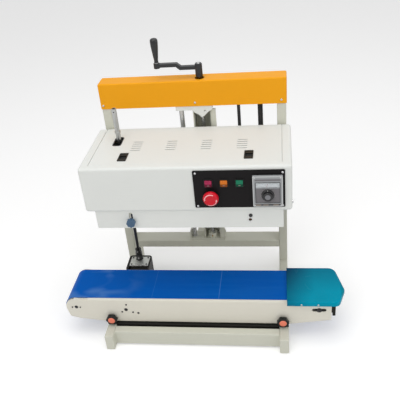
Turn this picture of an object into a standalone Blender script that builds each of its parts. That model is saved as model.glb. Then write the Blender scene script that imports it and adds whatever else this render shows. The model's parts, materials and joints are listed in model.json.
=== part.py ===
"""Vertical band sealer: a stand with a conveyor, and a sealing head that a hand crank lifts.

Units are metres. X runs along the conveyor, Y goes back and Z goes up. Sizes are worked out in
the machine's own frame, where X = 0 is midway between the columns, Y = 0 is the front face of
the head and Z = 0 is the floor. One empty carries the whole machine and moves it so that the
world origin lies under the middle of its bounding box.
"""
import math

import bmesh
import bpy
from mathutils import Vector

# Clearances
SEAT = 0.0003            # between two pieces that touch
TURN = 0.0004            # round a turning shaft
SEAM = 0.0008            # round the lid and the latches
DRIVE_PLAY = 0.0006      # between the two flights of the band pair

# Stand, of rectangular tube
TUBE_WIDTH = 0.025
TUBE_DEPTH = 0.050
TUBE_WALL = 0.002
TUBE_ROUND = 0.003
COLUMN_SPAN = 0.486
COLUMN_HEIGHT = 0.582
FOOT_FRONT = -0.107
FOOT_LENGTH = 0.437
BASE_BEAM_HEIGHT = 0.045
BASE_BEAM_SETBACK = 0.020
REAR_BEAM_RISE = 0.0515
TOP_BEAM_SIZE = 0.040
HEAD_TO_COLUMN = 0.004

# Orange cover over the top beam
COVER_SHEET = 0.0015
COVER_HEIGHT = 0.073
COVER_HEADROOM = 0.0225
COVER_ROUND = 0.004
COVER_HOLE_RADIUS = 0.013

# Head
HEAD_WIDTH = 0.538
HEAD_OFFSET = -0.002
HEAD_DEPTH = 0.236
HEAD_HEIGHT = 0.1295
HEAD_BOTTOM = 0.3955
HEAD_SHEET = 0.0015
HEAD_ROUND = 0.007
LID_SIDE_MARGIN = 0.024
LID_FRONT_MARGIN = 0.020
LID_REAR_MARGIN = 0.004
LID_FLANGE = 0.008
LID_SHEET = 0.0012
SLOT_WIDTH = 0.022
SLOT_AHEAD = 0.034
SLOT_BEHIND = 0.016
LATCH_WIDTH = 0.022
LATCH_LENGTH = 0.040
LATCH_DEPTH = 0.010
LATCH_TRAVEL = 0.006
LATCH_SPAN = 0.324
LATCH_SETBACK = 0.059
VENT_LENGTH = 0.026
VENT_SLOT = 0.0032
VENT_PITCH = 0.012
VENT_SLOTS = 5
VENT_GROUPS = 4
VENT_GROUP_PITCH = 0.0935
VENT_SETBACK = 0.097
VENT_SHIFT = 0.0025

# Mechanism plate under the head, and the guard in front of it
PLATE_SHEET = 0.003
PLATE_WIDTH = 0.489
PLATE_FRONT = 0.0083
PLATE_DEPTH = 0.184
GUARD_SHEET = 0.002
GUARD_HEIGHT = 0.0542
GUARD_WIDTH = 0.494
GUARD_RETURN = 0.014
GUARD_SLOT_LENGTH = 0.0357
GUARD_SLOT_WIDTH = 0.010
KNOB_X = -0.153
KNOB_DROP = 0.0319
GUARD_HOLE_X = 0.160
GUARD_HOLE_DROP = 0.0297
GUARD_HOLE_RADIUS = 0.0045

# Bands, their wheels and blocks
NIP_Y = 0.064
BAND_SPAN = 0.390
BAND_BOTTOM = 0.350
BAND_HEIGHT = 0.015
BAND_THICKNESS = 0.0008
BAND_WHEEL_RADIUS = 0.024
BAND_WHEEL_LIP = 0.001
PRESS_WHEEL_RADIUS = 0.014
PRESS_WHEEL_SETBACK = 0.055
WHEEL_SHAFT_RADIUS = 0.005
GEAR_TEETH = 24
PINION_TEETH = 12
GEAR_FACE = 0.010
GEAR_DROP = 0.0095
PULLEY_FACE = 0.0077
PINION_PULLEY_RADIUS = 0.009
SLEEVE_PULLEY_RADIUS = 0.015
TIMING_BELT_THICKNESS = 0.0016
TIMING_BELT_WIDTH = 0.006
MOTOR_SIDE = 0.060
MOTOR_GEARHEAD = 0.038
MOTOR_CAN_RADIUS = 0.028
MOTOR_CAN_LENGTH = 0.064
HEATER_LENGTH = 0.080
COOLER_FINS = 7
COOLER_GROOVE = 0.4
BLOCK_HEIGHT = 0.025
BLOCK_DEPTH = 0.036
SEAL_BAR_HEIGHT = 0.024
SEAL_BAR_DEPTH = 0.008
SEAL_BAR_CLEARANCE = 0.021
BLOCK_INSET = 0.010
BLOCK_GAP = 0.050

# Control panel
PANEL_THICKNESS = 0.002
PANEL_MARGIN = 0.0175
PANEL_WIDTH = 0.227
PANEL_HEIGHT = 0.107
PANEL_RISE = 0.013
BUTTON_SIZE = 0.018
BUTTON_STEM = 0.012
BUTTON_PROUD = 0.0052
BUTTON_THICKNESS = 0.003
BUTTON_LEFT = 0.038
BUTTON_RIGHT = 0.0319
BUTTON_RISE = 0.072
STOP_RADIUS = 0.020
STOP_STEM_RADIUS = 0.008
STOP_X = 0.043
STOP_RISE = 0.0345
STOP_TRAVEL = 0.005
STOP_CAP_DEPTH = 0.014
CONTROLLER_WIDTH = 0.074
CONTROLLER_HEIGHT = 0.087
CONTROLLER_PROUD = 0.008
CONTROLLER_BODY_DEPTH = 0.075
CONTROLLER_MARGIN = 0.0055
CONTROLLER_RISE = 0.0065
CONTROLLER_LIP = 0.004
DIAL_RADIUS = 0.016
DIAL_DEPTH = 0.012
DIAL_RISE = 0.0335

# Lift
SCREW_X = 0.024
SCREW_SETBACK = 0.022
SCREW_RADIUS = 0.006
SCREW_JOURNAL_RADIUS = 0.005
MAST_WIDTH = 0.050
MAST_WALL = 0.003
MAST_SETBACK = 0.006
MAST_FLANGE = 0.014
GUIDE_ROD_OFFSET = 0.059
GUIDE_ROD_RADIUS = 0.007
CARRIAGE_PLATE = 0.0032
CRANK_CLEARANCE = 0.004
CRANK_HUB_HEIGHT = 0.037
CRANK_HUB_RADIUS = 0.010
CRANK_REACH = 0.113
CRANK_ARM_WIDTH = 0.013
CRANK_ARM_HEIGHT = 0.0095
CRANK_STEP = 0.009
CRANK_BOSS_RADIUS = 0.0085
HANDLE_LENGTH = 0.067
HANDLE_RADIUS = 0.0105

# Bracket on the rear crossbeam, at the foot of the mast
LOWER_PLATE_THICKNESS = 0.006
LOWER_PLATE_SETBACK = 0.003
LOWER_PLATE_LEFT = 0.012     # past the rod's axis
LOWER_PLATE_RIGHT = 0.038    # past the screw's axis
LOWER_LEG_SHEET = 0.003
LOWER_LEG_DEPTH = 0.028
LOWER_LEG_HEIGHT = 0.024
LOWER_BLOCK_DEPTH = 0.026
LOWER_BLOCK_HEIGHT = 0.015
LOWER_BOSS_RADIUS = 0.014
LOWER_BOSS_HEIGHT = 0.015
LOWER_TAB_WIDTH = 0.010
LOWER_TAB_SETBACK = 0.033
LOWER_TAB_HEIGHT = 0.013
LOWER_TAB_HOLE = 0.003

# Carriage behind the head
CARRIAGE_RISE = 0.021
CARRIAGE_HEIGHT = 0.080
CARRIAGE_LEFT = 0.016        # past the rod's axis
CARRIAGE_RIGHT = 0.036       # past the screw's axis
NUT_HALF_WIDTH = 0.013
NUT_RISE = 0.022
NUT_HEIGHT = 0.036
BUSH_HALF_WIDTH = 0.012
BUSH_RISE = 0.015
BUSH_HEIGHT = 0.050

# Conveyor
CONVEYOR_WIDTH = 0.134
CONVEYOR_FRONT = -0.050
CONVEYOR_SHEET = 0.002
CONVEYOR_BEND = 0.005
CONVEYOR_FLANGE = 0.012
WEB_CLEARANCE = 0.007
BELT_TOP = 0.139
BELT_THICKNESS = 0.0016
BELT_WIDTH = 0.122
END_ROLLER_RADIUS = 0.0295
LEFT_ROLLER_X = -0.3405
RIGHT_ROLLER_X = 0.3365
CHEEK_RIGHT = 0.369
CHEEK_LEFT_TOE = 0.007
CHEEK_TOE_RISE = 0.0165
CHEEK_TAPER = 0.106
DRIVE_ROLLER_RADIUS = 0.020
DRIVE_ROLLER_Z = 0.100
SNUB_ROLLER_RADIUS = 0.010
SNUB_OFFSET = 0.034
SNUB_DROP = 0.012
AXLE_RADIUS = 0.005
SNUB_AXLE_RADIUS = 0.003
TENSION_SLOT = 0.038
YOKE_THICKNESS = 0.008
YOKE_ARM = 0.002
BASE_PLATE_SHEET = 0.003
BASE_PLATE_OVERHANG = 0.007
BASE_PLATE_LIP = 0.015
EAR_WIDTH = 0.028
EAR_SHEET = 0.0025
STAR_KNOB_RADIUS = 0.0165
STAR_KNOB_DEPTH = 0.013
STAR_KNOB_Z = 0.072
STAR_STUD_RADIUS = 0.004
STAR_INSET = 0.003

# Drive down to the conveyor
SHAFT_X = -0.197
SHAFT_Y = 0.160
HEX_ACROSS_FLATS = 0.008
SLEEVE_RADIUS = 0.0065
SLEEVE_BOTTOM = 0.365
SLEEVE_TOP = 0.618
SHAFT_TOP = 0.500
COUPLING_RADIUS = 0.0103
COUPLING_LENGTH = 0.038
GEARBOX_FRONT = 0.104
GEARBOX_WIDTH = 0.070
GEARBOX_REACH = 0.033
GEARBOX_DEPTH = 0.072
GEARBOX_HEIGHT = 0.0515
GEARBOX_ROUND = 0.010
GEARBOX_RIM = 0.007
GEARBOX_LID_THICKNESS = 0.008
GEARBOX_LID_WIDTH = 0.058
GEARBOX_LID_DEPTH = 0.044

# Outlet tray
TRAY_SHEET = 0.0015
TRAY_TOP = 0.144
TRAY_LIP = 0.014
TRAY_BEND = 0.005
TRAY_LEFT = 0.251
TRAY_LENGTH = 0.155
TRAY_FRONT_OVERHANG = 0.010
TRAY_BACK_OVERHANG = 0.003
TRAY_TAB = 0.070

# Cables from the top beam to the head
CABLE_RADIUS = 0.0046
CABLE_X = 0.126
CONDUIT_RADIUS = 0.0072
CONDUIT_X = 0.185
CABLE_BEND = 0.014
CABLE_ENTRY = 0.441

# Worked out from the sizes above
FOOT_TOP = TUBE_DEPTH
COLUMN_X = COLUMN_SPAN / 2
COLUMN_INNER_X = COLUMN_X - TUBE_WIDTH / 2
COLUMN_FRONT = HEAD_DEPTH + HEAD_TO_COLUMN
COLUMN_BACK = COLUMN_FRONT + TUBE_DEPTH
COLUMN_BOTTOM = FOOT_TOP + SEAT
COLUMN_TOP = COLUMN_BOTTOM + COLUMN_HEIGHT
REAR_BEAM_BOTTOM = FOOT_TOP + REAR_BEAM_RISE
REAR_BEAM_TOP = REAR_BEAM_BOTTOM + TUBE_WIDTH
TOP_BEAM_FRONT = COLUMN_FRONT + (TUBE_DEPTH - TOP_BEAM_SIZE) / 2
TOP_BEAM_BOTTOM = COLUMN_TOP - TOP_BEAM_SIZE
COVER_TOP = COLUMN_TOP + COVER_HEADROOM + COVER_SHEET
COVER_BOTTOM = COVER_TOP - COVER_HEIGHT
HEAD_LEFT = HEAD_OFFSET - HEAD_WIDTH / 2
HEAD_RIGHT = HEAD_OFFSET + HEAD_WIDTH / 2
HEAD_TOP = HEAD_BOTTOM + HEAD_HEIGHT
LID_LEFT = HEAD_LEFT + LID_SIDE_MARGIN
LID_RIGHT = HEAD_RIGHT - LID_SIDE_MARGIN
LID_FRONT = LID_FRONT_MARGIN
LID_REAR = HEAD_DEPTH - LID_REAR_MARGIN
PLATE_LEFT = HEAD_OFFSET - PLATE_WIDTH / 2
PLATE_RIGHT = HEAD_OFFSET + PLATE_WIDTH / 2
PLATE_TOP = HEAD_BOTTOM - SEAT
PLATE_BOTTOM = PLATE_TOP - PLATE_SHEET
GUARD_FRONT = PLATE_FRONT - SEAT - GUARD_SHEET
GUARD_BOTTOM = PLATE_TOP - GUARD_HEIGHT
KNOB_Z = PLATE_TOP - KNOB_DROP
GUARD_HOLE_Z = PLATE_TOP - GUARD_HOLE_DROP
SCREW_Y = COLUMN_FRONT + SCREW_SETBACK
GUIDE_ROD_X = SCREW_X - GUIDE_ROD_OFFSET
SHELF_TOP = COVER_BOTTOM - 0.003
SHELF_THICKNESS = 0.008
SHELF_BOTTOM = SHELF_TOP - SHELF_THICKNESS
LOWER_PLATE_BOTTOM = REAR_BEAM_TOP + SEAT
LOWER_PLATE_TOP = LOWER_PLATE_BOTTOM + LOWER_PLATE_THICKNESS
BAND_TOP = BAND_BOTTOM + BAND_HEIGHT
FLIGHT_OFFSET = DRIVE_PLAY / 2 + BAND_THICKNESS + SEAT
FRONT_WHEEL_Y = NIP_Y - FLIGHT_OFFSET - BAND_WHEEL_RADIUS
REAR_WHEEL_Y = NIP_Y + FLIGHT_OFFSET + BAND_WHEEL_RADIUS
GEAR_PITCH_RADIUS = (REAR_WHEEL_Y - FRONT_WHEEL_Y) / 2
PINION_PITCH_RADIUS = GEAR_PITCH_RADIUS * PINION_TEETH / GEAR_TEETH
DRIVE_WHEEL_X = BAND_SPAN / 2
PRESS_WHEEL_X = DRIVE_WHEEL_X - PRESS_WHEEL_SETBACK
SEAL_BAR_LEFT = -DRIVE_WHEEL_X + BAND_WHEEL_RADIUS + SEAL_BAR_CLEARANCE
SEAL_BAR_RIGHT = PRESS_WHEEL_X - PRESS_WHEEL_RADIUS - SEAL_BAR_CLEARANCE
COOLER_LEFT = SEAL_BAR_LEFT + BLOCK_INSET + HEATER_LENGTH + BLOCK_GAP
COOLER_LENGTH = SEAL_BAR_RIGHT - BLOCK_INSET - COOLER_LEFT
MOTOR_Y = REAR_WHEEL_Y + GEAR_PITCH_RADIUS + PINION_PITCH_RADIUS
GEAR_TOP = PLATE_BOTTOM - GEAR_DROP
GEAR_BOTTOM = GEAR_TOP - GEAR_FACE
PULLEY_TOP = PLATE_BOTTOM - 0.0005
PULLEY_BOTTOM = PULLEY_TOP - PULLEY_FACE
PANEL_FRONT = -SEAT - PANEL_THICKNESS
PANEL_LEFT = HEAD_RIGHT - PANEL_MARGIN - PANEL_WIDTH
PANEL_BOTTOM = HEAD_BOTTOM + PANEL_RISE
STOP_PLACE = (PANEL_LEFT + STOP_X, PANEL_BOTTOM + STOP_RISE)
CONTROLLER_RIGHT = PANEL_LEFT + PANEL_WIDTH - CONTROLLER_MARGIN
CONTROLLER_LEFT = CONTROLLER_RIGHT - CONTROLLER_WIDTH
CONTROLLER_BOTTOM = PANEL_BOTTOM + CONTROLLER_RISE
CONTROLLER_TOP = CONTROLLER_BOTTOM + CONTROLLER_HEIGHT
CONTROLLER_FRONT = PANEL_FRONT - SEAT - CONTROLLER_PROUD
BUTTON_PITCH = (CONTROLLER_LEFT - PANEL_LEFT - BUTTON_LEFT - BUTTON_RIGHT) / 2
DIAL_X = (CONTROLLER_LEFT + CONTROLLER_RIGHT) / 2
DIAL_Z = CONTROLLER_BOTTOM + DIAL_RISE
WEB_TOP = BELT_TOP - BELT_THICKNESS - SEAT
END_ROLLER_Z = WEB_TOP - END_ROLLER_RADIUS
CONVEYOR_BACK = CONVEYOR_FRONT + CONVEYOR_WIDTH
CONVEYOR_MIDDLE = (CONVEYOR_FRONT + CONVEYOR_BACK) / 2
WEB_LEFT = LEFT_ROLLER_X + END_ROLLER_RADIUS + WEB_CLEARANCE
WEB_RIGHT = RIGHT_ROLLER_X - END_ROLLER_RADIUS - WEB_CLEARANCE
SNUB_X = SHAFT_X + SNUB_OFFSET
SNUB_Z = DRIVE_ROLLER_Z - SNUB_DROP
STAR_KNOB_X = COLUMN_X - STAR_INSET
BELT_LEFT = LEFT_ROLLER_X - END_ROLLER_RADIUS - SEAT - BELT_THICKNESS
BASE_PLATE_TOP = FOOT_TOP + SEAT + BASE_PLATE_SHEET
CONVEYOR_BOTTOM = BASE_PLATE_TOP + SEAT
SHAFT_HEX_RADIUS = HEX_ACROSS_FLATS / math.sqrt(3)
SLEEVE_HEX_RADIUS = (HEX_ACROSS_FLATS + 2 * SEAT) / math.sqrt(3)
GEARBOX_BACK = GEARBOX_FRONT + GEARBOX_DEPTH
GEARBOX_LEFT = SHAFT_X - GEARBOX_REACH
GEARBOX_TOP = DRIVE_ROLLER_Z + 0.0175
GEARBOX_LID_BOTTOM = GEARBOX_TOP + 0.0005 - GEARBOX_LID_THICKNESS
GEARBOX_LID_TOP = GEARBOX_LID_BOTTOM + GEARBOX_LID_THICKNESS
TRAY_RIGHT = TRAY_LEFT + TRAY_LENGTH
MACHINE_MIDDLE_X = (BELT_LEFT + TRAY_RIGHT) / 2
MACHINE_MIDDLE_Y = FOOT_FRONT + FOOT_LENGTH / 2


# Materials: colour, roughness, metallic
FINISHES = {
    "frame_paint": ((0.62, 0.62, 0.54), 0.45, 0.0),
    "head_paint": ((0.80, 0.79, 0.74), 0.45, 0.0),
    "orange_paint": ((0.80, 0.34, 0.02), 0.40, 0.0),
    "black_paint": ((0.015, 0.015, 0.015), 0.45, 0.0),
    "bright_steel": ((0.60, 0.60, 0.60), 0.30, 1.0),
    "zinc_steel": ((0.45, 0.45, 0.44), 0.40, 1.0),
    "dark_steel": ((0.06, 0.06, 0.06), 0.35, 1.0),
    "aluminium": ((0.70, 0.70, 0.71), 0.35, 1.0),
    "blue_belt": ((0.00, 0.09, 0.40), 0.35, 0.0),
    "teal_film": ((0.00, 0.22, 0.33), 0.20, 0.0),
    "black_plastic": ((0.012, 0.012, 0.012), 0.40, 0.0),
    "black_rubber": ((0.010, 0.010, 0.010), 0.75, 0.0),
    "red_rubber": ((0.45, 0.05, 0.03), 0.65, 0.0),
    "seal_band": ((0.30, 0.18, 0.09), 0.45, 0.0),
    "gear_plastic": ((0.75, 0.73, 0.66), 0.45, 0.0),
    "grey_plastic": ((0.20, 0.21, 0.22), 0.45, 0.0),
    "blue_plastic": ((0.07, 0.17, 0.33), 0.40, 0.0),
    "stop_red": ((0.65, 0.01, 0.02), 0.25, 0.0),
    "lens_red": ((0.45, 0.02, 0.12), 0.25, 0.0),
    "lens_orange": ((0.70, 0.18, 0.01), 0.25, 0.0),
    "lens_green": ((0.00, 0.25, 0.12), 0.25, 0.0),
}


def finish(name):
    """The material of that name, made the first time it is asked for."""
    material = bpy.data.materials.get(name)
    if material is None:
        colour, roughness, metallic = FINISHES[name]
        material = bpy.data.materials.new(name)
        material.use_nodes = True
        shader = material.node_tree.nodes["Principled BSDF"]
        shader.inputs["Base Color"].default_value = (*colour, 1.0)
        shader.inputs["Roughness"].default_value = roughness
        shader.inputs["Metallic"].default_value = metallic
    return material


# Scene and collections

def clear_scene():
    for old in list(bpy.data.objects):
        bpy.data.objects.remove(old, do_unlink=True)


def new_collection(name):
    made = bpy.data.collections.new(name)
    bpy.context.scene.collection.children.link(made)
    return made


clear_scene()
PARTS = new_collection("vertical_band_sealer")
CUTTERS = new_collection("cutters")
MACHINE = bpy.data.objects.new("machine", None)
MACHINE.location = (-MACHINE_MIDDLE_X, -MACHINE_MIDDLE_Y, 0)
PARTS.objects.link(MACHINE)


def place(mesh, name, look, at=(0, 0, 0), turn=(0, 0, 0)):
    """Puts a mesh in the machine as a part, or as a cutter where look is None."""
    made = bpy.data.objects.new(name, mesh)
    made.location = at
    made.rotation_euler = turn
    made.parent = MACHINE
    if look is None:
        CUTTERS.objects.link(made)
        made.hide_render = True
        made.display_type = "WIRE"
    else:
        mesh.materials.clear()
        mesh.materials.append(finish(look))
        PARTS.objects.link(made)
    return made


def cut(target, *tools):
    """Takes the tools out of the target."""
    for tool in tools:
        step = target.modifiers.new("cut " + tool.name, "BOOLEAN")
        step.operation = "DIFFERENCE"
        step.object = tool


def join(target, *tools):
    """Makes the tools one body with the target."""
    for tool in tools:
        step = target.modifiers.new("join " + tool.name, "BOOLEAN")
        step.operation = "UNION"
        step.object = tool


def thicken(target, wall):
    """Gives an open surface its wall, on the side that its faces turn away from."""
    step = target.modifiers.new("wall", "SOLIDIFY")
    step.thickness = wall
    step.offset = -1
    step.use_even_offset = True


def to_mesh(bm, name):
    mesh = bpy.data.meshes.new(name)
    bm.to_mesh(mesh)
    bm.free()
    return mesh


# Shapes

def box(name, low, high, look=None, round_edges=0.0, segments=2):
    """A block from corner low to corner high, with its edges rounded if asked."""
    size = Vector(high) - Vector(low)
    bm = bmesh.new()
    bmesh.ops.create_cube(bm, size=1)
    bmesh.ops.scale(bm, vec=size, verts=bm.verts)
    if round_edges:
        bmesh.ops.bevel(bm, geom=bm.edges[:], offset=round_edges, segments=segments,
                        affect="EDGES", profile=0.5)
    return place(to_mesh(bm, name), name, look, (Vector(low) + Vector(high)) / 2)


def shell(name, low, high, wall, round_edges, look, open_sides=(), segments=2):
    """A box of sheet, left open on the sides named like -Z or +X."""
    size = Vector(high) - Vector(low)
    bm = bmesh.new()
    bmesh.ops.create_cube(bm, size=1)
    bmesh.ops.scale(bm, vec=size, verts=bm.verts)
    bm.normal_update()
    openings = []
    for side in open_sides:
        sign = 1 if side[0] == "+" else -1
        openings += [f for f in bm.faces if f.normal["XYZ".index(side[1])] * sign > 0.5]
    bmesh.ops.delete(bm, geom=openings, context="FACES_ONLY")
    folds = [e for e in bm.edges if len(e.link_faces) == 2]
    bmesh.ops.bevel(bm, geom=folds, offset=round_edges, segments=segments,
                    affect="EDGES", profile=0.5)
    loose = [v for v in bm.verts if not v.link_faces]
    bmesh.ops.delete(bm, geom=loose, context="VERTS")
    made = place(to_mesh(bm, name), name, look, (Vector(low) + Vector(high)) / 2)
    thicken(made, wall)
    return made


def cylinder(name, radius, start, end, axis, look=None, sides=24):
    """A cylinder along an axis from point start to point end."""
    start, end = Vector(start), Vector(end)
    bm = bmesh.new()
    bmesh.ops.create_cone(bm, cap_ends=True, segments=sides, radius1=radius, radius2=radius,
                          depth=(end - start).length)
    turn = {"X": (0, math.pi / 2, 0), "Y": (math.pi / 2, 0, 0), "Z": (0, 0, 0)}[axis]
    return place(to_mesh(bm, name), name, look, (start + end) / 2, turn)


def turned(name, profile, at, axis="Z", look=None, sides=24):
    """A turned piece: profile gives (radius, height along the axis), from its far end down."""
    bm = bmesh.new()
    points = [bm.verts.new((radius, 0, height)) for radius, height in profile]
    for first, second in zip(points, points[1:]):
        bm.edges.new((first, second))
    turn = {"X": (0, math.pi / 2, 0), "Y": (-math.pi / 2, 0, 0), "Z": (0, 0, 0)}[axis]
    made = place(to_mesh(bm, name), name, look, at, turn)
    lathe = made.modifiers.new("lathe", "SCREW")
    lathe.steps = sides
    lathe.render_steps = sides
    lathe.use_merge_vertices = True
    lathe.merge_threshold = 0.00001
    lathe.use_smooth_shade = False
    return made


def flat(name, outline, plane, start, end, look=None):
    """A flat outline in a plane, as thick as from start to end across it."""
    curve = bpy.data.curves.new(name, "CURVE")
    curve.dimensions = "2D"
    curve.fill_mode = "BOTH"
    curve.extrude = abs(end - start) / 2
    line = curve.splines.new("POLY")
    line.points.add(len(outline) - 1)
    for point, (u, v) in zip(line.points, outline):
        point.co = (u, v, 0, 1)
    line.use_cyclic_u = True
    middle = (start + end) / 2
    at = {"XY": (0, 0, middle), "XZ": (0, middle, 0), "YZ": (middle, 0, 0)}[plane]
    turn = {"XY": (0, 0, 0), "XZ": (math.pi / 2, 0, 0),
            "YZ": (math.pi / 2, 0, math.pi / 2)}[plane]
    draft = bpy.data.objects.new(name + "_outline", curve)
    CUTTERS.objects.link(draft)
    bpy.context.view_layer.update()
    seen = draft.evaluated_get(bpy.context.evaluated_depsgraph_get())
    mesh = bpy.data.meshes.new_from_object(seen)
    mesh.name = name
    bpy.data.objects.remove(draft, do_unlink=True)
    bpy.data.curves.remove(curve)
    bm = bmesh.new()
    bm.from_mesh(mesh)
    bmesh.ops.remove_doubles(bm, verts=bm.verts, dist=0.000001)
    bm.to_mesh(mesh)
    bm.free()
    return place(mesh, name, look, at, turn)


def folded(name, line, plane, start, end, wall, bend, look=None, closed=False, segments=3):
    """Sheet folded along a line drawn in a plane; its outer side is on the right of the line.

    An open line is the sheet's outer side. A closed line is a belt's inner side.
    """
    u_axis, v_axis = ("XYZ".index(letter) for letter in plane)
    w_axis = 3 - u_axis - v_axis
    bm = bmesh.new()
    points = []
    for u, v in line:
        spot = [0.0, 0.0, 0.0]
        spot[u_axis], spot[v_axis], spot[w_axis] = u, v, start
        points.append(bm.verts.new(spot))
    pairs = list(zip(points, points[1:])) + ([(points[-1], points[0])] if closed else [])
    edges = [bm.edges.new(pair) for pair in pairs]
    outward = Vector((0, 0, 0))
    outward[u_axis] = line[1][1] - line[0][1]
    outward[v_axis] = line[0][0] - line[1][0]
    raised = bmesh.ops.extrude_edge_only(bm, edges=edges)["geom"]
    shift = Vector((0, 0, 0))
    shift[w_axis] = end - start
    bmesh.ops.translate(bm, vec=shift, verts=[g for g in raised if isinstance(g, bmesh.types.BMVert)])
    bmesh.ops.recalc_face_normals(bm, faces=bm.faces)
    first = [f for f in bm.faces if points[0] in f.verts and points[1] in f.verts][0]
    if first.normal.dot(outward) < 0:
        bmesh.ops.reverse_faces(bm, faces=bm.faces)
    if bend:
        folds = [e for e in bm.edges if len(e.link_faces) == 2]
        bmesh.ops.bevel(bm, geom=folds, offset=bend, segments=segments,
                        affect="EDGES", profile=0.5)
    made = place(to_mesh(bm, name), name, look)
    thicken(made, wall)
    if closed:
        made.modifiers["wall"].offset = 1
    return made


def arc(centre, radius, first_deg, last_deg, steps):
    """Points on an arc, from one angle to the other."""
    points = []
    for step in range(steps + 1):
        angle = math.radians(first_deg + (last_deg - first_deg) * step / steps)
        points.append((centre[0] + radius * math.cos(angle), centre[1] + radius * math.sin(angle)))
    return points


def rounded_box(left, low, right, high, radius, steps=3):
    """The outline of a rectangle with round corners."""
    return (arc((right - radius, low + radius), radius, -90, 0, steps)
            + arc((right - radius, high - radius), radius, 0, 90, steps)
            + arc((left + radius, high - radius), radius, 90, 180, steps)
            + arc((left + radius, low + radius), radius, 180, 270, steps))


def round_corner(before, corner, after, radius, steps=4):
    """Points that round the corner between two straight runs."""
    corner = Vector(corner)
    back = (Vector(before) - corner).normalized()
    ahead = (Vector(after) - corner).normalized()
    half = back.angle(ahead) / 2
    centre = corner + (back + ahead).normalized() * radius / math.sin(half)
    start = corner + back * radius / math.tan(half)
    end = corner + ahead * radius / math.tan(half)
    first = math.atan2(start.y - centre.y, start.x - centre.x)
    sweep = math.atan2(end.y - centre.y, end.x - centre.x) - first
    sweep = (sweep + math.pi) % (2 * math.pi) - math.pi
    return arc(centre, radius, math.degrees(first), math.degrees(first + sweep), steps)


def gear_outline(teeth, pitch_radius, phase_deg):
    """A spur gear's outline, one tooth centred on the phase angle."""
    module = 2 * pitch_radius / teeth
    tip = pitch_radius + 0.85 * module
    root = pitch_radius - 1.15 * module
    half_tooth = 0.80 * math.pi * module / 4 / pitch_radius
    outline = []
    for tooth in range(teeth):
        middle = math.radians(phase_deg) + tooth * 2 * math.pi / teeth
        for radius, spread in ((root, -1.35), (tip, -0.55), (tip, 0.55), (root, 1.35)):
            angle = middle + spread * half_tooth
            outline.append((radius * math.cos(angle), radius * math.sin(angle)))
    return outline


def belt_line(rollers, step_deg=11.25):
    """The closed line of a belt round rollers given as (u, v, radius), taken anticlockwise.

    A negative radius means that the belt's back runs over that roller.
    """
    heading = []
    for (u1, v1, r1), (u2, v2, r2) in zip(rollers, rollers[1:] + rollers[:1]):
        reach = math.hypot(u2 - u1, v2 - v1)
        heading.append(math.atan2(v2 - v1, u2 - u1) - math.asin((r2 - r1) / reach))
    points = []
    for index, (u, v, radius) in enumerate(rollers):
        arriving, leaving = heading[index - 1], heading[index]
        sweep = (leaving - arriving) % (2 * math.pi)
        if radius < 0:
            sweep -= 2 * math.pi
        steps = max(2, round(abs(sweep) / math.radians(step_deg)))
        for step in range(steps + 1):
            angle = arriving + sweep * step / steps
            points.append((u + radius * math.sin(angle), v - radius * math.cos(angle)))
    return points


# Stand

def stand():
    for name, side in (("left_foot", -1), ("right_foot", 1)):
        middle = side * COLUMN_X
        shell(name, (middle - TUBE_WIDTH / 2, FOOT_FRONT, 0),
              (middle + TUBE_WIDTH / 2, FOOT_FRONT + FOOT_LENGTH, FOOT_TOP),
              TUBE_WALL, TUBE_ROUND, "frame_paint", ("+Y",))
    for name, side in (("left_column", -1), ("right_column", 1)):
        middle = side * COLUMN_X
        shell(name, (middle - TUBE_WIDTH / 2, COLUMN_FRONT, COLUMN_BOTTOM),
              (middle + TUBE_WIDTH / 2, COLUMN_BACK, COLUMN_TOP),
              TUBE_WALL, TUBE_ROUND, "frame_paint", ("-Z", "+Z"))
    reach = COLUMN_INNER_X - SEAT
    front = FOOT_FRONT + BASE_BEAM_SETBACK
    shell("base_beam", (-reach, front, FOOT_TOP - BASE_BEAM_HEIGHT),
          (reach, front + TUBE_WIDTH, FOOT_TOP),
          TUBE_WALL, TUBE_ROUND, "frame_paint", ("-X", "+X"))
    shell("rear_crossbeam", (-reach, COLUMN_FRONT, REAR_BEAM_BOTTOM),
          (reach, COLUMN_BACK, REAR_BEAM_TOP),
          TUBE_WALL, TUBE_ROUND, "frame_paint", ("-X", "+X"))
    top_beam = shell("top_crossbeam", (-reach, TOP_BEAM_FRONT, TOP_BEAM_BOTTOM),
                     (reach, TOP_BEAM_FRONT + TOP_BEAM_SIZE, COLUMN_TOP),
                     TUBE_WALL, TUBE_ROUND, "frame_paint", ("-X", "+X"))
    cut(top_beam, cylinder("screw_way", SCREW_RADIUS + 0.002, (SCREW_X, SCREW_Y, TOP_BEAM_BOTTOM - 0.01),
                           (SCREW_X, SCREW_Y, COLUMN_TOP + 0.01), "Z"))
    side = COLUMN_X + TUBE_WIDTH / 2 + SEAT + COVER_SHEET
    cover = shell("top_cover", (-side, COLUMN_FRONT - SEAT - COVER_SHEET, COVER_BOTTOM),
                  (side, COLUMN_BACK + SEAT + COVER_SHEET, COVER_TOP),
                  COVER_SHEET, COVER_ROUND, "orange_paint", ("-Z",), segments=3)
    cut(cover, cylinder("hub_hole", COVER_HOLE_RADIUS, (SCREW_X, SCREW_Y, COVER_TOP - 0.01),
                        (SCREW_X, SCREW_Y, COVER_TOP + 0.01), "Z"))


# Lift: mast, screw, crank and the carriage that the head hangs on

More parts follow.
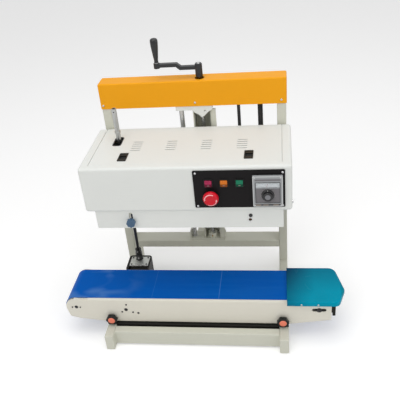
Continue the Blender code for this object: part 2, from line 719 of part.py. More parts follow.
def lift():
    half = MAST_WIDTH / 2
    front = COLUMN_FRONT + MAST_SETBACK
    folded("mast_channel", [(SCREW_X - half, front), (SCREW_X - half, COLUMN_BACK),
                            (SCREW_X + half, COLUMN_BACK), (SCREW_X + half, front + MAST_WALL),
                            (SCREW_X + half + MAST_FLANGE, front + MAST_WALL)][::-1],
           "XY", LOWER_PLATE_TOP + SEAT, SHELF_BOTTOM - SEAT, MAST_WALL, 0.004, "frame_paint")
    bearing_plate()
    lower_bearing()
    cylinder("guide_rod", GUIDE_ROD_RADIUS, (GUIDE_ROD_X, SCREW_Y, LOWER_PLATE_TOP + SEAT),
             (GUIDE_ROD_X, SCREW_Y, SHELF_TOP - 0.001), "Z", "bright_steel", 24)
    journal = SCREW_JOURNAL_RADIUS
    turned("lead_screw",
           [(0, COVER_TOP + CRANK_CLEARANCE + 0.030), (journal, COVER_TOP + CRANK_CLEARANCE + 0.030),
            (journal, SHELF_TOP + 0.009), (SCREW_RADIUS + 0.004, SHELF_TOP + 0.009),
            (SCREW_RADIUS + 0.004, SHELF_TOP + TURN), (journal, SHELF_TOP + TURN),
            (journal, SHELF_BOTTOM - TURN), (SCREW_RADIUS, SHELF_BOTTOM - TURN - 0.001),
            (SCREW_RADIUS, LOWER_PLATE_TOP + 0.017), (journal, LOWER_PLATE_TOP + 0.016),
            (journal, LOWER_PLATE_TOP + 0.001), (0, LOWER_PLATE_TOP + 0.001)],
           (SCREW_X, SCREW_Y, 0), "Z", "zinc_steel", 16)
    carriage()
    crank()


def bearing_plate():
    """The plate at the mast's head: a front tongue, and a shelf with the two upper bearings."""
    left, right = GUIDE_ROD_X - 0.012, SCREW_X + 0.031
    tip = SHELF_BOTTOM - 0.023
    back = TOP_BEAM_FRONT - SEAT
    front = COLUMN_FRONT + SEAT
    notch = SCREW_X - 0.024
    tongue = [(left, SHELF_BOTTOM - 0.002), (notch, SHELF_BOTTOM - 0.002),
              (notch + 0.004, SHELF_BOTTOM - 0.008), (SCREW_X - 0.008, tip + 0.008), (SCREW_X, tip),
              (SCREW_X + 0.008, tip + 0.004), (SCREW_X + 0.020, SHELF_BOTTOM - 0.007),
              (right, SHELF_BOTTOM), (right, TOP_BEAM_BOTTOM + 0.018),
              (left, TOP_BEAM_BOTTOM + 0.018)]
    plate = flat("top_bearing_plate", tongue, "XZ", front, back, "head_paint")
    join(plate, box("shelf", (left, back - 0.001, SHELF_BOTTOM),
                    (right, COLUMN_BACK - 0.004, SHELF_TOP)))
    cut(plate,
        cylinder("screw_bearing", SCREW_JOURNAL_RADIUS + TURN, (SCREW_X, SCREW_Y, SHELF_BOTTOM - 0.01),
                 (SCREW_X, SCREW_Y, SHELF_TOP + 0.004), "Z"),
        cylinder("rod_socket", GUIDE_ROD_RADIUS + SEAT, (GUIDE_ROD_X, SCREW_Y, SHELF_BOTTOM - 0.01),
                 (GUIDE_ROD_X, SCREW_Y, SHELF_TOP + 0.004), "Z"),
        cylinder("tongue_hole", 0.0022, (SCREW_X + 0.010, front - 0.01, SHELF_BOTTOM - 0.004),
                 (SCREW_X + 0.010, back + 0.0005, SHELF_BOTTOM - 0.004), "Y", sides=12))


def lower_bearing():
    """The bracket on the rear crossbeam that carries the foot of the screw and of the rod."""
    left, right = GUIDE_ROD_X - LOWER_PLATE_LEFT, SCREW_X + LOWER_PLATE_RIGHT
    front, back = COLUMN_FRONT + LOWER_PLATE_SETBACK, COLUMN_BACK - 0.002
    low, top = LOWER_PLATE_BOTTOM, LOWER_PLATE_TOP
    root = top - 0.001
    bracket = box("lower_bearing_block", (left, front, low), (right, back, top), "zinc_steel")
    block_left = GUIDE_ROD_X + GUIDE_ROD_RADIUS + LOWER_LEG_SHEET
    block_right = SCREW_X - MAST_WIDTH / 2 - LOWER_LEG_SHEET
    tab_front = front + LOWER_TAB_SETBACK
    join(bracket,
         box("bracket_leg", (left, front, root),
             (left + LOWER_LEG_SHEET, front + LOWER_LEG_DEPTH, top + LOWER_LEG_HEIGHT)),
         box("bracket_block", (block_left, back - LOWER_BLOCK_DEPTH, root),
             (block_right, back, top + LOWER_BLOCK_HEIGHT)),
         box("bracket_tab", (right - LOWER_TAB_WIDTH, tab_front, root),
             (right, tab_front + LOWER_LEG_SHEET, top + LOWER_TAB_HEIGHT)),
         cylinder("bearing_boss", LOWER_BOSS_RADIUS, (SCREW_X, SCREW_Y, root),
                  (SCREW_X, SCREW_Y, top + LOWER_BOSS_HEIGHT), "Z"))
    hole_x, hole_z = right - LOWER_TAB_WIDTH / 2, top + LOWER_TAB_HEIGHT / 2
    cut(bracket,
        cylinder("foot_bearing", SCREW_JOURNAL_RADIUS + TURN, (SCREW_X, SCREW_Y, top),
                 (SCREW_X, SCREW_Y, top + 0.03), "Z"),
        cylinder("tab_hole", LOWER_TAB_HOLE, (hole_x, tab_front - 0.001, hole_z),
                 (hole_x, tab_front + LOWER_LEG_SHEET + 0.001, hole_z), "Y", sides=12))


def carriage():
    """The head's back plate with the lifting nut and the guide bush."""
    front = HEAD_DEPTH + SEAT
    back = front + CARRIAGE_PLATE
    base = HEAD_BOTTOM + CARRIAGE_RISE
    top = base + CARRIAGE_HEIGHT
    plate = box("lift_carriage", (GUIDE_ROD_X - CARRIAGE_LEFT, front, base),
                (SCREW_X + CARRIAGE_RIGHT, back, top), "frame_paint")
    join(plate,
         box("nut_block", (SCREW_X - NUT_HALF_WIDTH, back - 0.001, base + NUT_RISE),
             (SCREW_X + NUT_HALF_WIDTH, SCREW_Y + NUT_HALF_WIDTH, base + NUT_RISE + NUT_HEIGHT)),
         box("bush_block", (GUIDE_ROD_X - BUSH_HALF_WIDTH, back - 0.001, base + BUSH_RISE),
             (GUIDE_ROD_X + BUSH_HALF_WIDTH, SCREW_Y + BUSH_HALF_WIDTH,
              base + BUSH_RISE + BUSH_HEIGHT)))
    cut(plate,
        cylinder("nut_bore", SCREW_RADIUS + TURN, (SCREW_X, SCREW_Y, base), (SCREW_X, SCREW_Y, top), "Z"),
        cylinder("bush_bore", GUIDE_ROD_RADIUS + TURN, (GUIDE_ROD_X, SCREW_Y, base),
                 (GUIDE_ROD_X, SCREW_Y, top), "Z"))


def crank():
    base = COVER_TOP + CRANK_CLEARANCE
    top = base + CRANK_HUB_HEIGHT
    low = top - 0.016
    high = low + CRANK_STEP
    end = SCREW_X - CRANK_REACH
    bend = SCREW_X - 0.049
    thick = CRANK_ARM_HEIGHT
    arm = flat("crank_arm",
               [(SCREW_X, low), (SCREW_X, low + thick), (bend + 0.002, low + thick),
                (bend - 0.009, high + thick), (end, high + thick), (end, high),
                (bend - 0.012, high), (bend - 0.002, low)],
               "XZ", SCREW_Y - CRANK_ARM_WIDTH / 2, SCREW_Y + CRANK_ARM_WIDTH / 2, "black_paint")
    hub = turned("crank_hub", [(0, top), (CRANK_HUB_RADIUS - 0.002, top),
                               (CRANK_HUB_RADIUS, top - 0.003), (CRANK_HUB_RADIUS, base + 0.001),
                               (CRANK_HUB_RADIUS - 0.001, base), (0, base)],
                 (SCREW_X, SCREW_Y, 0), sides=20)
    boss_top = high + thick + 0.002
    boss = turned("crank_boss", [(0, boss_top), (CRANK_BOSS_RADIUS - 0.001, boss_top),
                                 (CRANK_BOSS_RADIUS, boss_top - 0.001),
                                 (CRANK_BOSS_RADIUS, high - 0.003), (0, high - 0.003)],
                  (end, SCREW_Y, 0), sides=16)
    join(arm, hub, boss)
    cut(arm,
        cylinder("hub_bore", SCREW_JOURNAL_RADIUS + SEAT, (SCREW_X, SCREW_Y, base - 0.005),
                 (SCREW_X, SCREW_Y, base + 0.030 + SEAT), "Z", sides=16),
        cylinder("handle_bore", 0.003 + TURN, (end, SCREW_Y, high - 0.01),
                 (end, SCREW_Y, boss_top + 0.01), "Z", sides=12))
    foot = boss_top + TURN
    tip = foot + HANDLE_LENGTH
    turned("crank_handle",
           [(0, tip), (0.004, tip), (HANDLE_RADIUS - 0.001, tip - 0.003),
            (HANDLE_RADIUS, tip - 0.010), (HANDLE_RADIUS - 0.001, tip - 0.026),
            (0.0070, foot + 0.020), (0.0052, foot + 0.008), (0.0058, foot + 0.003), (0.0058, foot),
            (0.003, foot), (0.003, high - 0.002), (0, high - 0.002)],
           (end, SCREW_Y, 0), "Z", "black_plastic", 16)


# Head shell, lid and latches

def head_shell():
    case = shell("head_shell", (HEAD_LEFT, 0, HEAD_BOTTOM), (HEAD_RIGHT, HEAD_DEPTH, HEAD_TOP),
                 HEAD_SHEET, HEAD_ROUND, "head_paint", segments=3)
    lid_hole = box("lid_opening", (LID_LEFT - SEAM, LID_FRONT - SEAM, HEAD_TOP - 0.01),
                   (LID_RIGHT + SEAM, LID_REAR + SEAM, HEAD_TOP + 0.01))
    floor_hole = box("floor_opening", (PLATE_LEFT + 0.012, PLATE_FRONT + 0.012, HEAD_BOTTOM - 0.01),
                     (PLATE_RIGHT - 0.012, PLATE_FRONT + PLATE_DEPTH - 0.012, HEAD_BOTTOM + 0.01))
    cut(case, lid_hole, floor_hole)
    cut(case, *panel_cutters(-0.001, HEAD_SHEET + 0.001))


def lid():
    made = shell("head_lid", (LID_LEFT, LID_FRONT, HEAD_TOP - LID_FLANGE),
                 (LID_RIGHT, LID_REAR, HEAD_TOP), LID_SHEET, 0.0015, "head_paint", ("-Z",),
                 segments=1)
    slot = flat("shaft_slot", rounded_box(SHAFT_X - SLOT_WIDTH / 2, SHAFT_Y - SLOT_AHEAD,
                                          SHAFT_X + SLOT_WIDTH / 2, SHAFT_Y + SLOT_BEHIND, 0.006),
                "XY", HEAD_TOP - 0.004, HEAD_TOP + 0.004)
    cut(made, slot)
    first_group = HEAD_OFFSET + VENT_SHIFT - (VENT_GROUPS - 1) / 2 * VENT_GROUP_PITCH
    for group in range(VENT_GROUPS):
        middle = first_group + group * VENT_GROUP_PITCH
        vent = flat("vent_slots_%d" % (group + 1),
                    rounded_box(middle - VENT_LENGTH / 2, VENT_SETBACK,
                                middle + VENT_LENGTH / 2, VENT_SETBACK + VENT_SLOT,
                                VENT_SLOT / 2 - 0.0001, 1),
                    "XY", HEAD_TOP - 0.004, HEAD_TOP + 0.004)
        row = vent.modifiers.new("row", "ARRAY")
        row.count = VENT_SLOTS
        row.use_relative_offset = False
        row.use_constant_offset = True
        row.constant_offset_displace = (0, VENT_PITCH, 0)
        cut(made, vent)
    for name, side in (("left_latch", -1), ("right_latch", 1)):
        latch(made, name, HEAD_OFFSET + side * LATCH_SPAN / 2)


def latch(cover, name, middle):
    """A sliding catch in its window in the lid, with a finger hollow in its top."""
    low = LATCH_SETBACK - LATCH_LENGTH / 2
    high = LATCH_SETBACK + LATCH_LENGTH / 2
    cut(cover, box(name + "_window", (middle - LATCH_WIDTH / 2 - SEAT, low - SEAT, HEAD_TOP - 0.005),
                   (middle + LATCH_WIDTH / 2 + SEAT, high + LATCH_TRAVEL + SEAT, HEAD_TOP + 0.005)))
    body = box(name, (middle - LATCH_WIDTH / 2, low, HEAD_TOP - LATCH_DEPTH),
               (middle + LATCH_WIDTH / 2, high, HEAD_TOP + 0.001), "black_plastic", 0.0008, 1)
    hollow = flat(name + "_hollow",
                  rounded_box(low + 0.012, HEAD_TOP - 0.005, high - 0.012, HEAD_TOP + 0.010, 0.003),
                  "YZ", middle - LATCH_WIDTH / 2 + 0.002, middle + LATCH_WIDTH / 2 - 0.002)
    cut(body, hollow)


# Mechanism plate, guard and the band drive

def mechanism_plate():
    back = PLATE_FRONT + PLATE_DEPTH
    plate = folded("mechanism_plate",
                   [(PLATE_FRONT, PLATE_TOP - 0.011), (PLATE_FRONT, PLATE_TOP), (back, PLATE_TOP),
                    (back, GUARD_BOTTOM)][::-1],
                   "YZ", PLATE_LEFT, PLATE_RIGHT, PLATE_SHEET, 0.0045, "frame_paint",
                   segments=2)
    holes = [(DRIVE_WHEEL_X, FRONT_WHEEL_Y, WHEEL_SHAFT_RADIUS),
             (DRIVE_WHEEL_X, REAR_WHEEL_Y, WHEEL_SHAFT_RADIUS),
             (-DRIVE_WHEEL_X, FRONT_WHEEL_Y, WHEEL_SHAFT_RADIUS),
             (-DRIVE_WHEEL_X, REAR_WHEEL_Y, WHEEL_SHAFT_RADIUS),
             (PRESS_WHEEL_X, press_wheel_y(-1), WHEEL_SHAFT_RADIUS - 0.001),
             (PRESS_WHEEL_X, press_wheel_y(1), WHEEL_SHAFT_RADIUS - 0.001),
             (DRIVE_WHEEL_X, MOTOR_Y, 0.004), (SHAFT_X, SHAFT_Y, SLEEVE_RADIUS)]
    for number, (x, y, radius) in enumerate(holes):
        cut(plate, cylinder("shaft_hole_%d" % number, radius + TURN, (x, y, PLATE_BOTTOM - 0.005),
                            (x, y, PLATE_TOP + 0.005), "Z", sides=12))


def front_guard():
    left = HEAD_OFFSET - GUARD_WIDTH / 2
    right = HEAD_OFFSET + GUARD_WIDTH / 2
    back = GUARD_FRONT + GUARD_RETURN
    guard = folded("front_guard", [(left, back), (left, GUARD_FRONT), (right, GUARD_FRONT), (right, back)],
                   "XY", GUARD_BOTTOM, PLATE_TOP, GUARD_SHEET, 0.003, "head_paint")
    slot_low = KNOB_Z - 0.009
    cut(guard,
        flat("guard_slot", rounded_box(KNOB_X - GUARD_SLOT_WIDTH / 2, slot_low,
                                       KNOB_X + GUARD_SLOT_WIDTH / 2, slot_low + GUARD_SLOT_LENGTH,
                                       GUARD_SLOT_WIDTH / 2 - 0.0001, 4),
             "XZ", GUARD_FRONT - 0.004, GUARD_FRONT + 0.006),
        cylinder("guard_hole", GUARD_HOLE_RADIUS, (GUARD_HOLE_X, GUARD_FRONT - 0.004, GUARD_HOLE_Z),
                 (GUARD_HOLE_X, GUARD_FRONT + 0.006, GUARD_HOLE_Z), "Y", sides=16))


def wheel_profile(radius, shaft, top, lip):
    """A band wheel on its shaft: a rim as high as the band, a web, a hub and the shaft above."""
    return [(0, top), (shaft, top), (shaft, BAND_TOP + 0.005), (radius - 0.004, BAND_TOP + 0.002),
            (radius, BAND_TOP + 0.002), (radius, BAND_BOTTOM - 0.0005),
            (radius + lip, BAND_BOTTOM - 0.0005), (radius + lip, BAND_BOTTOM - 0.0035),
            (0, BAND_BOTTOM - 0.0035)]


def press_wheel_y(side):
    return NIP_Y + side * (FLIGHT_OFFSET + PRESS_WHEEL_RADIUS)


def band_drive():
    shaft_top = PLATE_TOP + 0.003
    rows = (("front", FRONT_WHEEL_Y, 180.0 / GEAR_TEETH, -1), ("rear", REAR_WHEEL_Y, 0.0, 1))
    for row, y, phase, side in rows:
        wheel = turned(row + "_drive_wheel",
                       wheel_profile(BAND_WHEEL_RADIUS, WHEEL_SHAFT_RADIUS, shaft_top, BAND_WHEEL_LIP),
                       (DRIVE_WHEEL_X, y, 0), "Z", "red_rubber", 24)
        gear = flat(row + "_gear", gear_outline(GEAR_TEETH, GEAR_PITCH_RADIUS, phase), "XY",
                    GEAR_BOTTOM, GEAR_TOP)
        gear.location = (DRIVE_WHEEL_X, y, (GEAR_BOTTOM + GEAR_TOP) / 2)
        join(wheel, gear)
        turned(row + "_idler_wheel",
               wheel_profile(BAND_WHEEL_RADIUS, WHEEL_SHAFT_RADIUS, shaft_top, BAND_WHEEL_LIP),
               (-DRIVE_WHEEL_X, y, 0), "Z", "red_rubber", 24)
        shaft = WHEEL_SHAFT_RADIUS - 0.001
        radius = PRESS_WHEEL_RADIUS
        turned(row + "_press_wheel",
               [(0, shaft_top), (shaft, shaft_top), (shaft, BAND_TOP + 0.003),
                (radius, BAND_TOP + 0.002), (radius, BAND_BOTTOM - 0.002),
                (0, BAND_BOTTOM - 0.002)],
               (PRESS_WHEEL_X, press_wheel_y(side), 0), "Z", "dark_steel", 20)
        reach = BAND_WHEEL_RADIUS + SEAT
        loop = belt_line([(-DRIVE_WHEEL_X, y, reach), (DRIVE_WHEEL_X, y, reach)])
        folded(row + "_band", loop, "XY", BAND_BOTTOM, BAND_TOP, BAND_THICKNESS, 0,
               "seal_band", closed=True)
        seal_bar(row + "_seal_bar", side)
    motor()


def seal_bar(name, side):
    """The bar that carries one heating block and one finned cooling block inside a band."""
    face = NIP_Y + side * FLIGHT_OFFSET
    back = face + side * BLOCK_DEPTH
    hook = back - side * SEAL_BAR_DEPTH
    left, right = SEAL_BAR_LEFT, SEAL_BAR_RIGHT
    low = BAND_BOTTOM - 0.001
    block_top = low + BLOCK_HEIGHT
    bar_top = PLATE_BOTTOM - SEAT
    bar = box(name, (left, min(back, hook), bar_top - SEAL_BAR_HEIGHT),
              (right, max(back, hook), bar_top), "aluminium", 0.001, 1)
    rear = back - side * 0.0005
    near, far = min(face, rear), max(face, rear)
    heater = box(name + "_heater", (left + BLOCK_INSET, near, low),
                 (left + BLOCK_INSET + HEATER_LENGTH, far, block_top))
    cooler = box(name + "_cooler", (COOLER_LEFT, near, low), (right - BLOCK_INSET, far, block_top))
    join(bar, heater, cooler)
    pitch = COOLER_LENGTH / (COOLER_FINS + 1)
    half_groove = pitch * COOLER_GROOVE / 2
    inner = back - side * 0.022
    groove = box(name + "_groove",
                 (COOLER_LEFT + pitch - half_groove, min(back, inner) - 0.001, low - 0.005),
                 (COOLER_LEFT + pitch + half_groove, max(back, inner) + 0.001, block_top - 0.004))
    row = groove.modifiers.new("row", "ARRAY")
    row.count = COOLER_FINS
    row.use_relative_offset = False
    row.use_constant_offset = True
    row.constant_offset_displace = (pitch, 0, 0)
    cut(bar, groove)


def motor():
    low = PLATE_TOP + SEAT
    top = low + MOTOR_GEARHEAD
    half = MOTOR_SIDE / 2
    body = flat("motor", rounded_box(DRIVE_WHEEL_X - half, MOTOR_Y - half, DRIVE_WHEEL_X + half,
                                     MOTOR_Y + half, 0.006), "XY", low, top, "black_paint")
    can_top = top + MOTOR_CAN_LENGTH
    join(body, turned("motor_can", [(0, can_top), (MOTOR_CAN_RADIUS - 0.003, can_top),
                                    (MOTOR_CAN_RADIUS, can_top - 0.003),
                                    (MOTOR_CAN_RADIUS, top - 0.002), (0, top - 0.002)],
                      (DRIVE_WHEEL_X, MOTOR_Y, 0)))
    cut(body, cylinder("motor_bore", 0.004 + TURN, (DRIVE_WHEEL_X, MOTOR_Y, low - 0.01),
                       (DRIVE_WHEEL_X, MOTOR_Y, low + 0.015), "Z", sides=16))
    shaft = turned("motor_pinion",
                   [(0, low + 0.014), (0.004, low + 0.014), (0.004, PULLEY_TOP),
                    (PINION_PULLEY_RADIUS, PULLEY_TOP), (PINION_PULLEY_RADIUS, PULLEY_BOTTOM),
                    (0.007, PULLEY_BOTTOM), (0.007, GEAR_BOTTOM - 0.003), (0, GEAR_BOTTOM - 0.003)],
                   (DRIVE_WHEEL_X, MOTOR_Y, 0), "Z", "gear_plastic", 24)
    gear = flat("pinion_gear", gear_outline(PINION_TEETH, PINION_PITCH_RADIUS, 180.0 / PINION_TEETH),
                "XY", GEAR_BOTTOM, GEAR_TOP)
    gear.location = (DRIVE_WHEEL_X, MOTOR_Y, (GEAR_BOTTOM + GEAR_TOP) / 2)
    join(shaft, gear)
    middle = (PULLEY_TOP + PULLEY_BOTTOM) / 2
    loop = belt_line([(SHAFT_X, SHAFT_Y, SLEEVE_PULLEY_RADIUS + SEAT),
                      (DRIVE_WHEEL_X, MOTOR_Y, PINION_PULLEY_RADIUS + SEAT)])
    folded("timing_belt", loop, "XY", middle - TIMING_BELT_WIDTH / 2,
           middle + TIMING_BELT_WIDTH / 2, TIMING_BELT_THICKNESS, 0, "black_rubber", closed=True)


# Control panel

def button_places():
    """The middle of each square button, from left to right, as (x, z)."""
    return [(PANEL_LEFT + BUTTON_LEFT + number * BUTTON_PITCH, PANEL_BOTTOM + BUTTON_RISE)
            for number in range(3)]


def panel_cutters(front, back):
    """Cutters for the holes that the panel and the head's front wall share."""
    tools = [cylinder("stop_hole_%d" % round(back * 1e5), STOP_STEM_RADIUS + SEAT,
                      (STOP_PLACE[0], front, STOP_PLACE[1]), (STOP_PLACE[0], back, STOP_PLACE[1]), "Y")]
    half = BUTTON_STEM / 2 + SEAT
    for x, z in button_places():
        tools.append(box("button_hole", (x - half, front, z - half), (x + half, back, z + half)))
    rim = CONTROLLER_LIP - SEAT
    tools.append(box("controller_hole", (CONTROLLER_LEFT + rim, front, CONTROLLER_BOTTOM + rim),
                     (CONTROLLER_RIGHT - rim, back, CONTROLLER_TOP - rim)))
    return tools


def controls():
    panel = flat("control_panel",
                 rounded_box(PANEL_LEFT, PANEL_BOTTOM, PANEL_LEFT + PANEL_WIDTH,
                             PANEL_BOTTOM + PANEL_HEIGHT, 0.003),
                 "XZ", PANEL_FRONT, -SEAT, "black_plastic")
    cut(panel, *panel_cutters(PANEL_FRONT - 0.001, 0.0001))
    names = (("red_button", "lens_red"), ("orange_button", "lens_orange"),
             ("green_button", "lens_green"))
    back = PANEL_FRONT - BUTTON_PROUD + BUTTON_THICKNESS
    for (name, look), (x, z) in zip(names, button_places()):
        half = BUTTON_SIZE / 2
        cap = box(name, (x - half, back - BUTTON_THICKNESS, z - half), (x + half, back, z + half),
                  look, 0.001, 1)
        stem = BUTTON_STEM / 2
        join(cap, box(name + "_stem", (x - stem, back - 0.001, z - stem),
                      (x + stem, HEAD_SHEET + 0.008, z + stem)))
    stop_button()
    controller()


def stop_button():
    """The emergency stop: a mushroom cap on its stem."""
    seat = PANEL_FRONT - STOP_TRAVEL - 0.003
    front = seat - STOP_CAP_DEPTH
    turned("estop_button",
           [(0, HEAD_SHEET + 0.018), (STOP_STEM_RADIUS, HEAD_SHEET + 0.018),
            (STOP_STEM_RADIUS, seat), (STOP_RADIUS - 0.003, seat), (STOP_RADIUS, seat - 0.003),
            (STOP_RADIUS, seat - 0.006), (STOP_RADIUS - 0.001, seat - 0.009),
            (STOP_RADIUS - 0.004, seat - 0.012), (STOP_RADIUS - 0.010, front), (0, front)],
           (STOP_PLACE[0], 0, STOP_PLACE[1]), "Y", "stop_red", 24)


def controller():
    """The temperature controller: a frame on the panel, a body behind it and a dial."""
    front = CONTROLLER_FRONT
    frame = box("temperature_controller", (CONTROLLER_LEFT, front, CONTROLLER_BOTTOM),
                (CONTROLLER_RIGHT, PANEL_FRONT - SEAT, CONTROLLER_TOP), "grey_plastic", 0.0012, 1)
    rim = CONTROLLER_LIP
    join(frame, box("controller_body", (CONTROLLER_LEFT + rim, PANEL_FRONT - 0.003,
                                        CONTROLLER_BOTTOM + rim),
                    (CONTROLLER_RIGHT - rim, CONTROLLER_BODY_DEPTH, CONTROLLER_TOP - rim)))
    inset = 0.008
    cut(frame,
        box("meter_window", (CONTROLLER_LEFT + inset, front - 0.005, CONTROLLER_TOP - 0.033),
            (CONTROLLER_RIGHT - inset, front + 0.003, CONTROLLER_TOP - 0.019)),
        box("dial_recess", (CONTROLLER_LEFT + inset, front - 0.005, CONTROLLER_BOTTOM + 0.012),
            (CONTROLLER_RIGHT - inset, front + 0.001, CONTROLLER_TOP - 0.035)),
        cylinder("dial_bore", 0.003 + TURN, (DIAL_X, front - 0.01, DIAL_Z),
                 (DIAL_X, front + 0.012, DIAL_Z), "Y", sides=16))
    back = front + 0.001 - TURN
    turned("controller_dial",
           [(0, front + 0.010), (0.003, front + 0.010), (0.003, back), (DIAL_RADIUS, back),
            (DIAL_RADIUS, back - 0.004), (DIAL_RADIUS - 0.003, back - 0.0045),
            (DIAL_RADIUS - 0.004, back - DIAL_DEPTH), (0, back - DIAL_DEPTH)],
           (DIAL_X, 0, DIAL_Z), "Y", "black_plastic", 20)


def guard_knob():
    """The hand nut that clamps in the guard's slot."""
    back = GUARD_FRONT - SEAT
    outline = []
    lobes = 8
    for step in range(4 * lobes):
        angle = 2 * math.pi * step / (4 * lobes)
        outline.append((0.0115 + 0.0006 * math.cos(lobes * angle), angle))
    outline = [(radius * math.cos(angle), radius * math.sin(angle)) for radius, angle in outline]
    knob = flat("guard_knob", outline, "XZ", back - 0.015, back - 0.003, "blue_plastic")
    knob.location = (KNOB_X, back - 0.009, KNOB_Z)
    join(knob, turned("knob_stud", [(0, PLATE_FRONT + 0.004), (0.003, PLATE_FRONT + 0.004),
                                    (0.003, back), (0.007, back), (0.007, back - 0.004),
                                    (0, back - 0.004)],
                      (KNOB_X, 0, KNOB_Z), "Y", sides=16))


# Telescopic drive down to the conveyor

def telescopic_drive():
    sleeve = turned("shaft_sleeve",
                    [(0, SLEEVE_TOP), (SLEEVE_RADIUS, SLEEVE_TOP), (SLEEVE_RADIUS, PULLEY_TOP),
                     (SLEEVE_PULLEY_RADIUS, PULLEY_TOP), (SLEEVE_PULLEY_RADIUS, PULLEY_BOTTOM),
                     (SLEEVE_RADIUS, PULLEY_BOTTOM), (SLEEVE_RADIUS, SLEEVE_BOTTOM), (0, SLEEVE_BOTTOM)],
                    (SHAFT_X, SHAFT_Y, 0), "Z", "zinc_steel", 20)
    cut(sleeve, cylinder("sleeve_hexagon", SLEEVE_HEX_RADIUS, (SHAFT_X, SHAFT_Y, SLEEVE_BOTTOM - 0.01),
                         (SHAFT_X, SHAFT_Y, SLEEVE_TOP + 0.01), "Z", sides=6))
    low = GEARBOX_LID_TOP + TURN
    coupling_top = low + COUPLING_LENGTH
    shaft = turned("drive_shaft",
                   [(0, coupling_top), (COUPLING_RADIUS - 0.001, coupling_top),
                    (COUPLING_RADIUS, coupling_top - 0.001), (COUPLING_RADIUS, low),
                    (AXLE_RADIUS, low), (AXLE_RADIUS, GEARBOX_LID_BOTTOM - 0.006),
                    (0, GEARBOX_LID_BOTTOM - 0.006)],
                   (SHAFT_X, SHAFT_Y, 0), "Z", "dark_steel", 16)
    join(shaft, cylinder("shaft_hexagon", SHAFT_HEX_RADIUS, (SHAFT_X, SHAFT_Y, coupling_top - 0.01),
                         (SHAFT_X, SHAFT_Y, SHAFT_TOP), "Z", sides=6))
    gearbox()


def gearbox():
    """The angle gearbox on the conveyor's back: a black housing round a grey top plate."""
    left, right = GEARBOX_LEFT, GEARBOX_LEFT + GEARBOX_WIDTH
    low = GEARBOX_TOP - GEARBOX_HEIGHT
    housing = flat("gearbox_housing",
                   rounded_box(left, GEARBOX_FRONT, right, GEARBOX_BACK, GEARBOX_ROUND, 4),
                   "XY", low, GEARBOX_TOP, "black_paint")
    join(housing, turned("gearbox_neck",
                         [(0, GEARBOX_FRONT + 0.004), (0.019, GEARBOX_FRONT + 0.004),
                          (0.019, CONVEYOR_BACK + 0.006), (0.021, CONVEYOR_BACK + 0.005),
                          (0.021, CONVEYOR_BACK + SEAT), (0, CONVEYOR_BACK + SEAT)],
                         (SHAFT_X, 0, DRIVE_ROLLER_Z), "Y"))
    lid_left = left + GEARBOX_RIM
    lid_right = lid_left + GEARBOX_LID_WIDTH
    lid_back = GEARBOX_BACK - GEARBOX_RIM
    lid_front = lid_back - GEARBOX_LID_DEPTH
    cut(housing,
        box("lid_pocket", (lid_left - SEAT, GEARBOX_FRONT - 0.001, GEARBOX_LID_BOTTOM - SEAT),
            (lid_right + SEAT, lid_back + SEAT, GEARBOX_TOP + 0.01)),
        cylinder("input_bore", AXLE_RADIUS + TURN, (SHAFT_X, SHAFT_Y, GEARBOX_LID_BOTTOM - 0.008),
                 (SHAFT_X, SHAFT_Y, GEARBOX_TOP + 0.01), "Z"),
        cylinder("output_bore", AXLE_RADIUS + TURN, (SHAFT_X, CONVEYOR_BACK - 0.01, DRIVE_ROLLER_Z),
                 (SHAFT_X, CONVEYOR_BACK + 0.018, DRIVE_ROLLER_Z), "Y"))
    top = box("gearbox_lid", (lid_left, lid_front, GEARBOX_LID_BOTTOM), (lid_right, lid_back,
                                                                      GEARBOX_LID_TOP),
              "zinc_steel", 0.001, 1)
    cut(top, cylinder("lid_bore", AXLE_RADIUS + TURN, (SHAFT_X, SHAFT_Y, GEARBOX_LID_BOTTOM - 0.01),
                      (SHAFT_X, SHAFT_Y, GEARBOX_LID_TOP + 0.01), "Z"))


# Conveyor

def cheek_outline():
    """The conveyor's side in X and Z, anticlockwise from the right end of its web."""
    centre = (LEFT_ROLLER_X, END_ROLLER_Z)
    toe = LEFT_ROLLER_X - END_ROLLER_RADIUS + CHEEK_LEFT_TOE
    low = CONVEYOR_BOTTOM + CHEEK_TOE_RISE
    corner = 0.008
    outline = [(WEB_RIGHT, WEB_TOP), (WEB_LEFT, WEB_TOP)]
    outline += arc(centre, END_ROLLER_RADIUS, 90, 185, 6)
    outline += [(toe, low), (toe + 0.025, low - 0.0075), (toe + CHEEK_TAPER - 0.006, CONVEYOR_BOTTOM),
                (CHEEK_RIGHT - CHEEK_TAPER - 0.004, CONVEYOR_BOTTOM), (CHEEK_RIGHT, low)]
    outline += arc((CHEEK_RIGHT - corner, WEB_TOP - corner), corner, 0, 90, 3)
    return outline


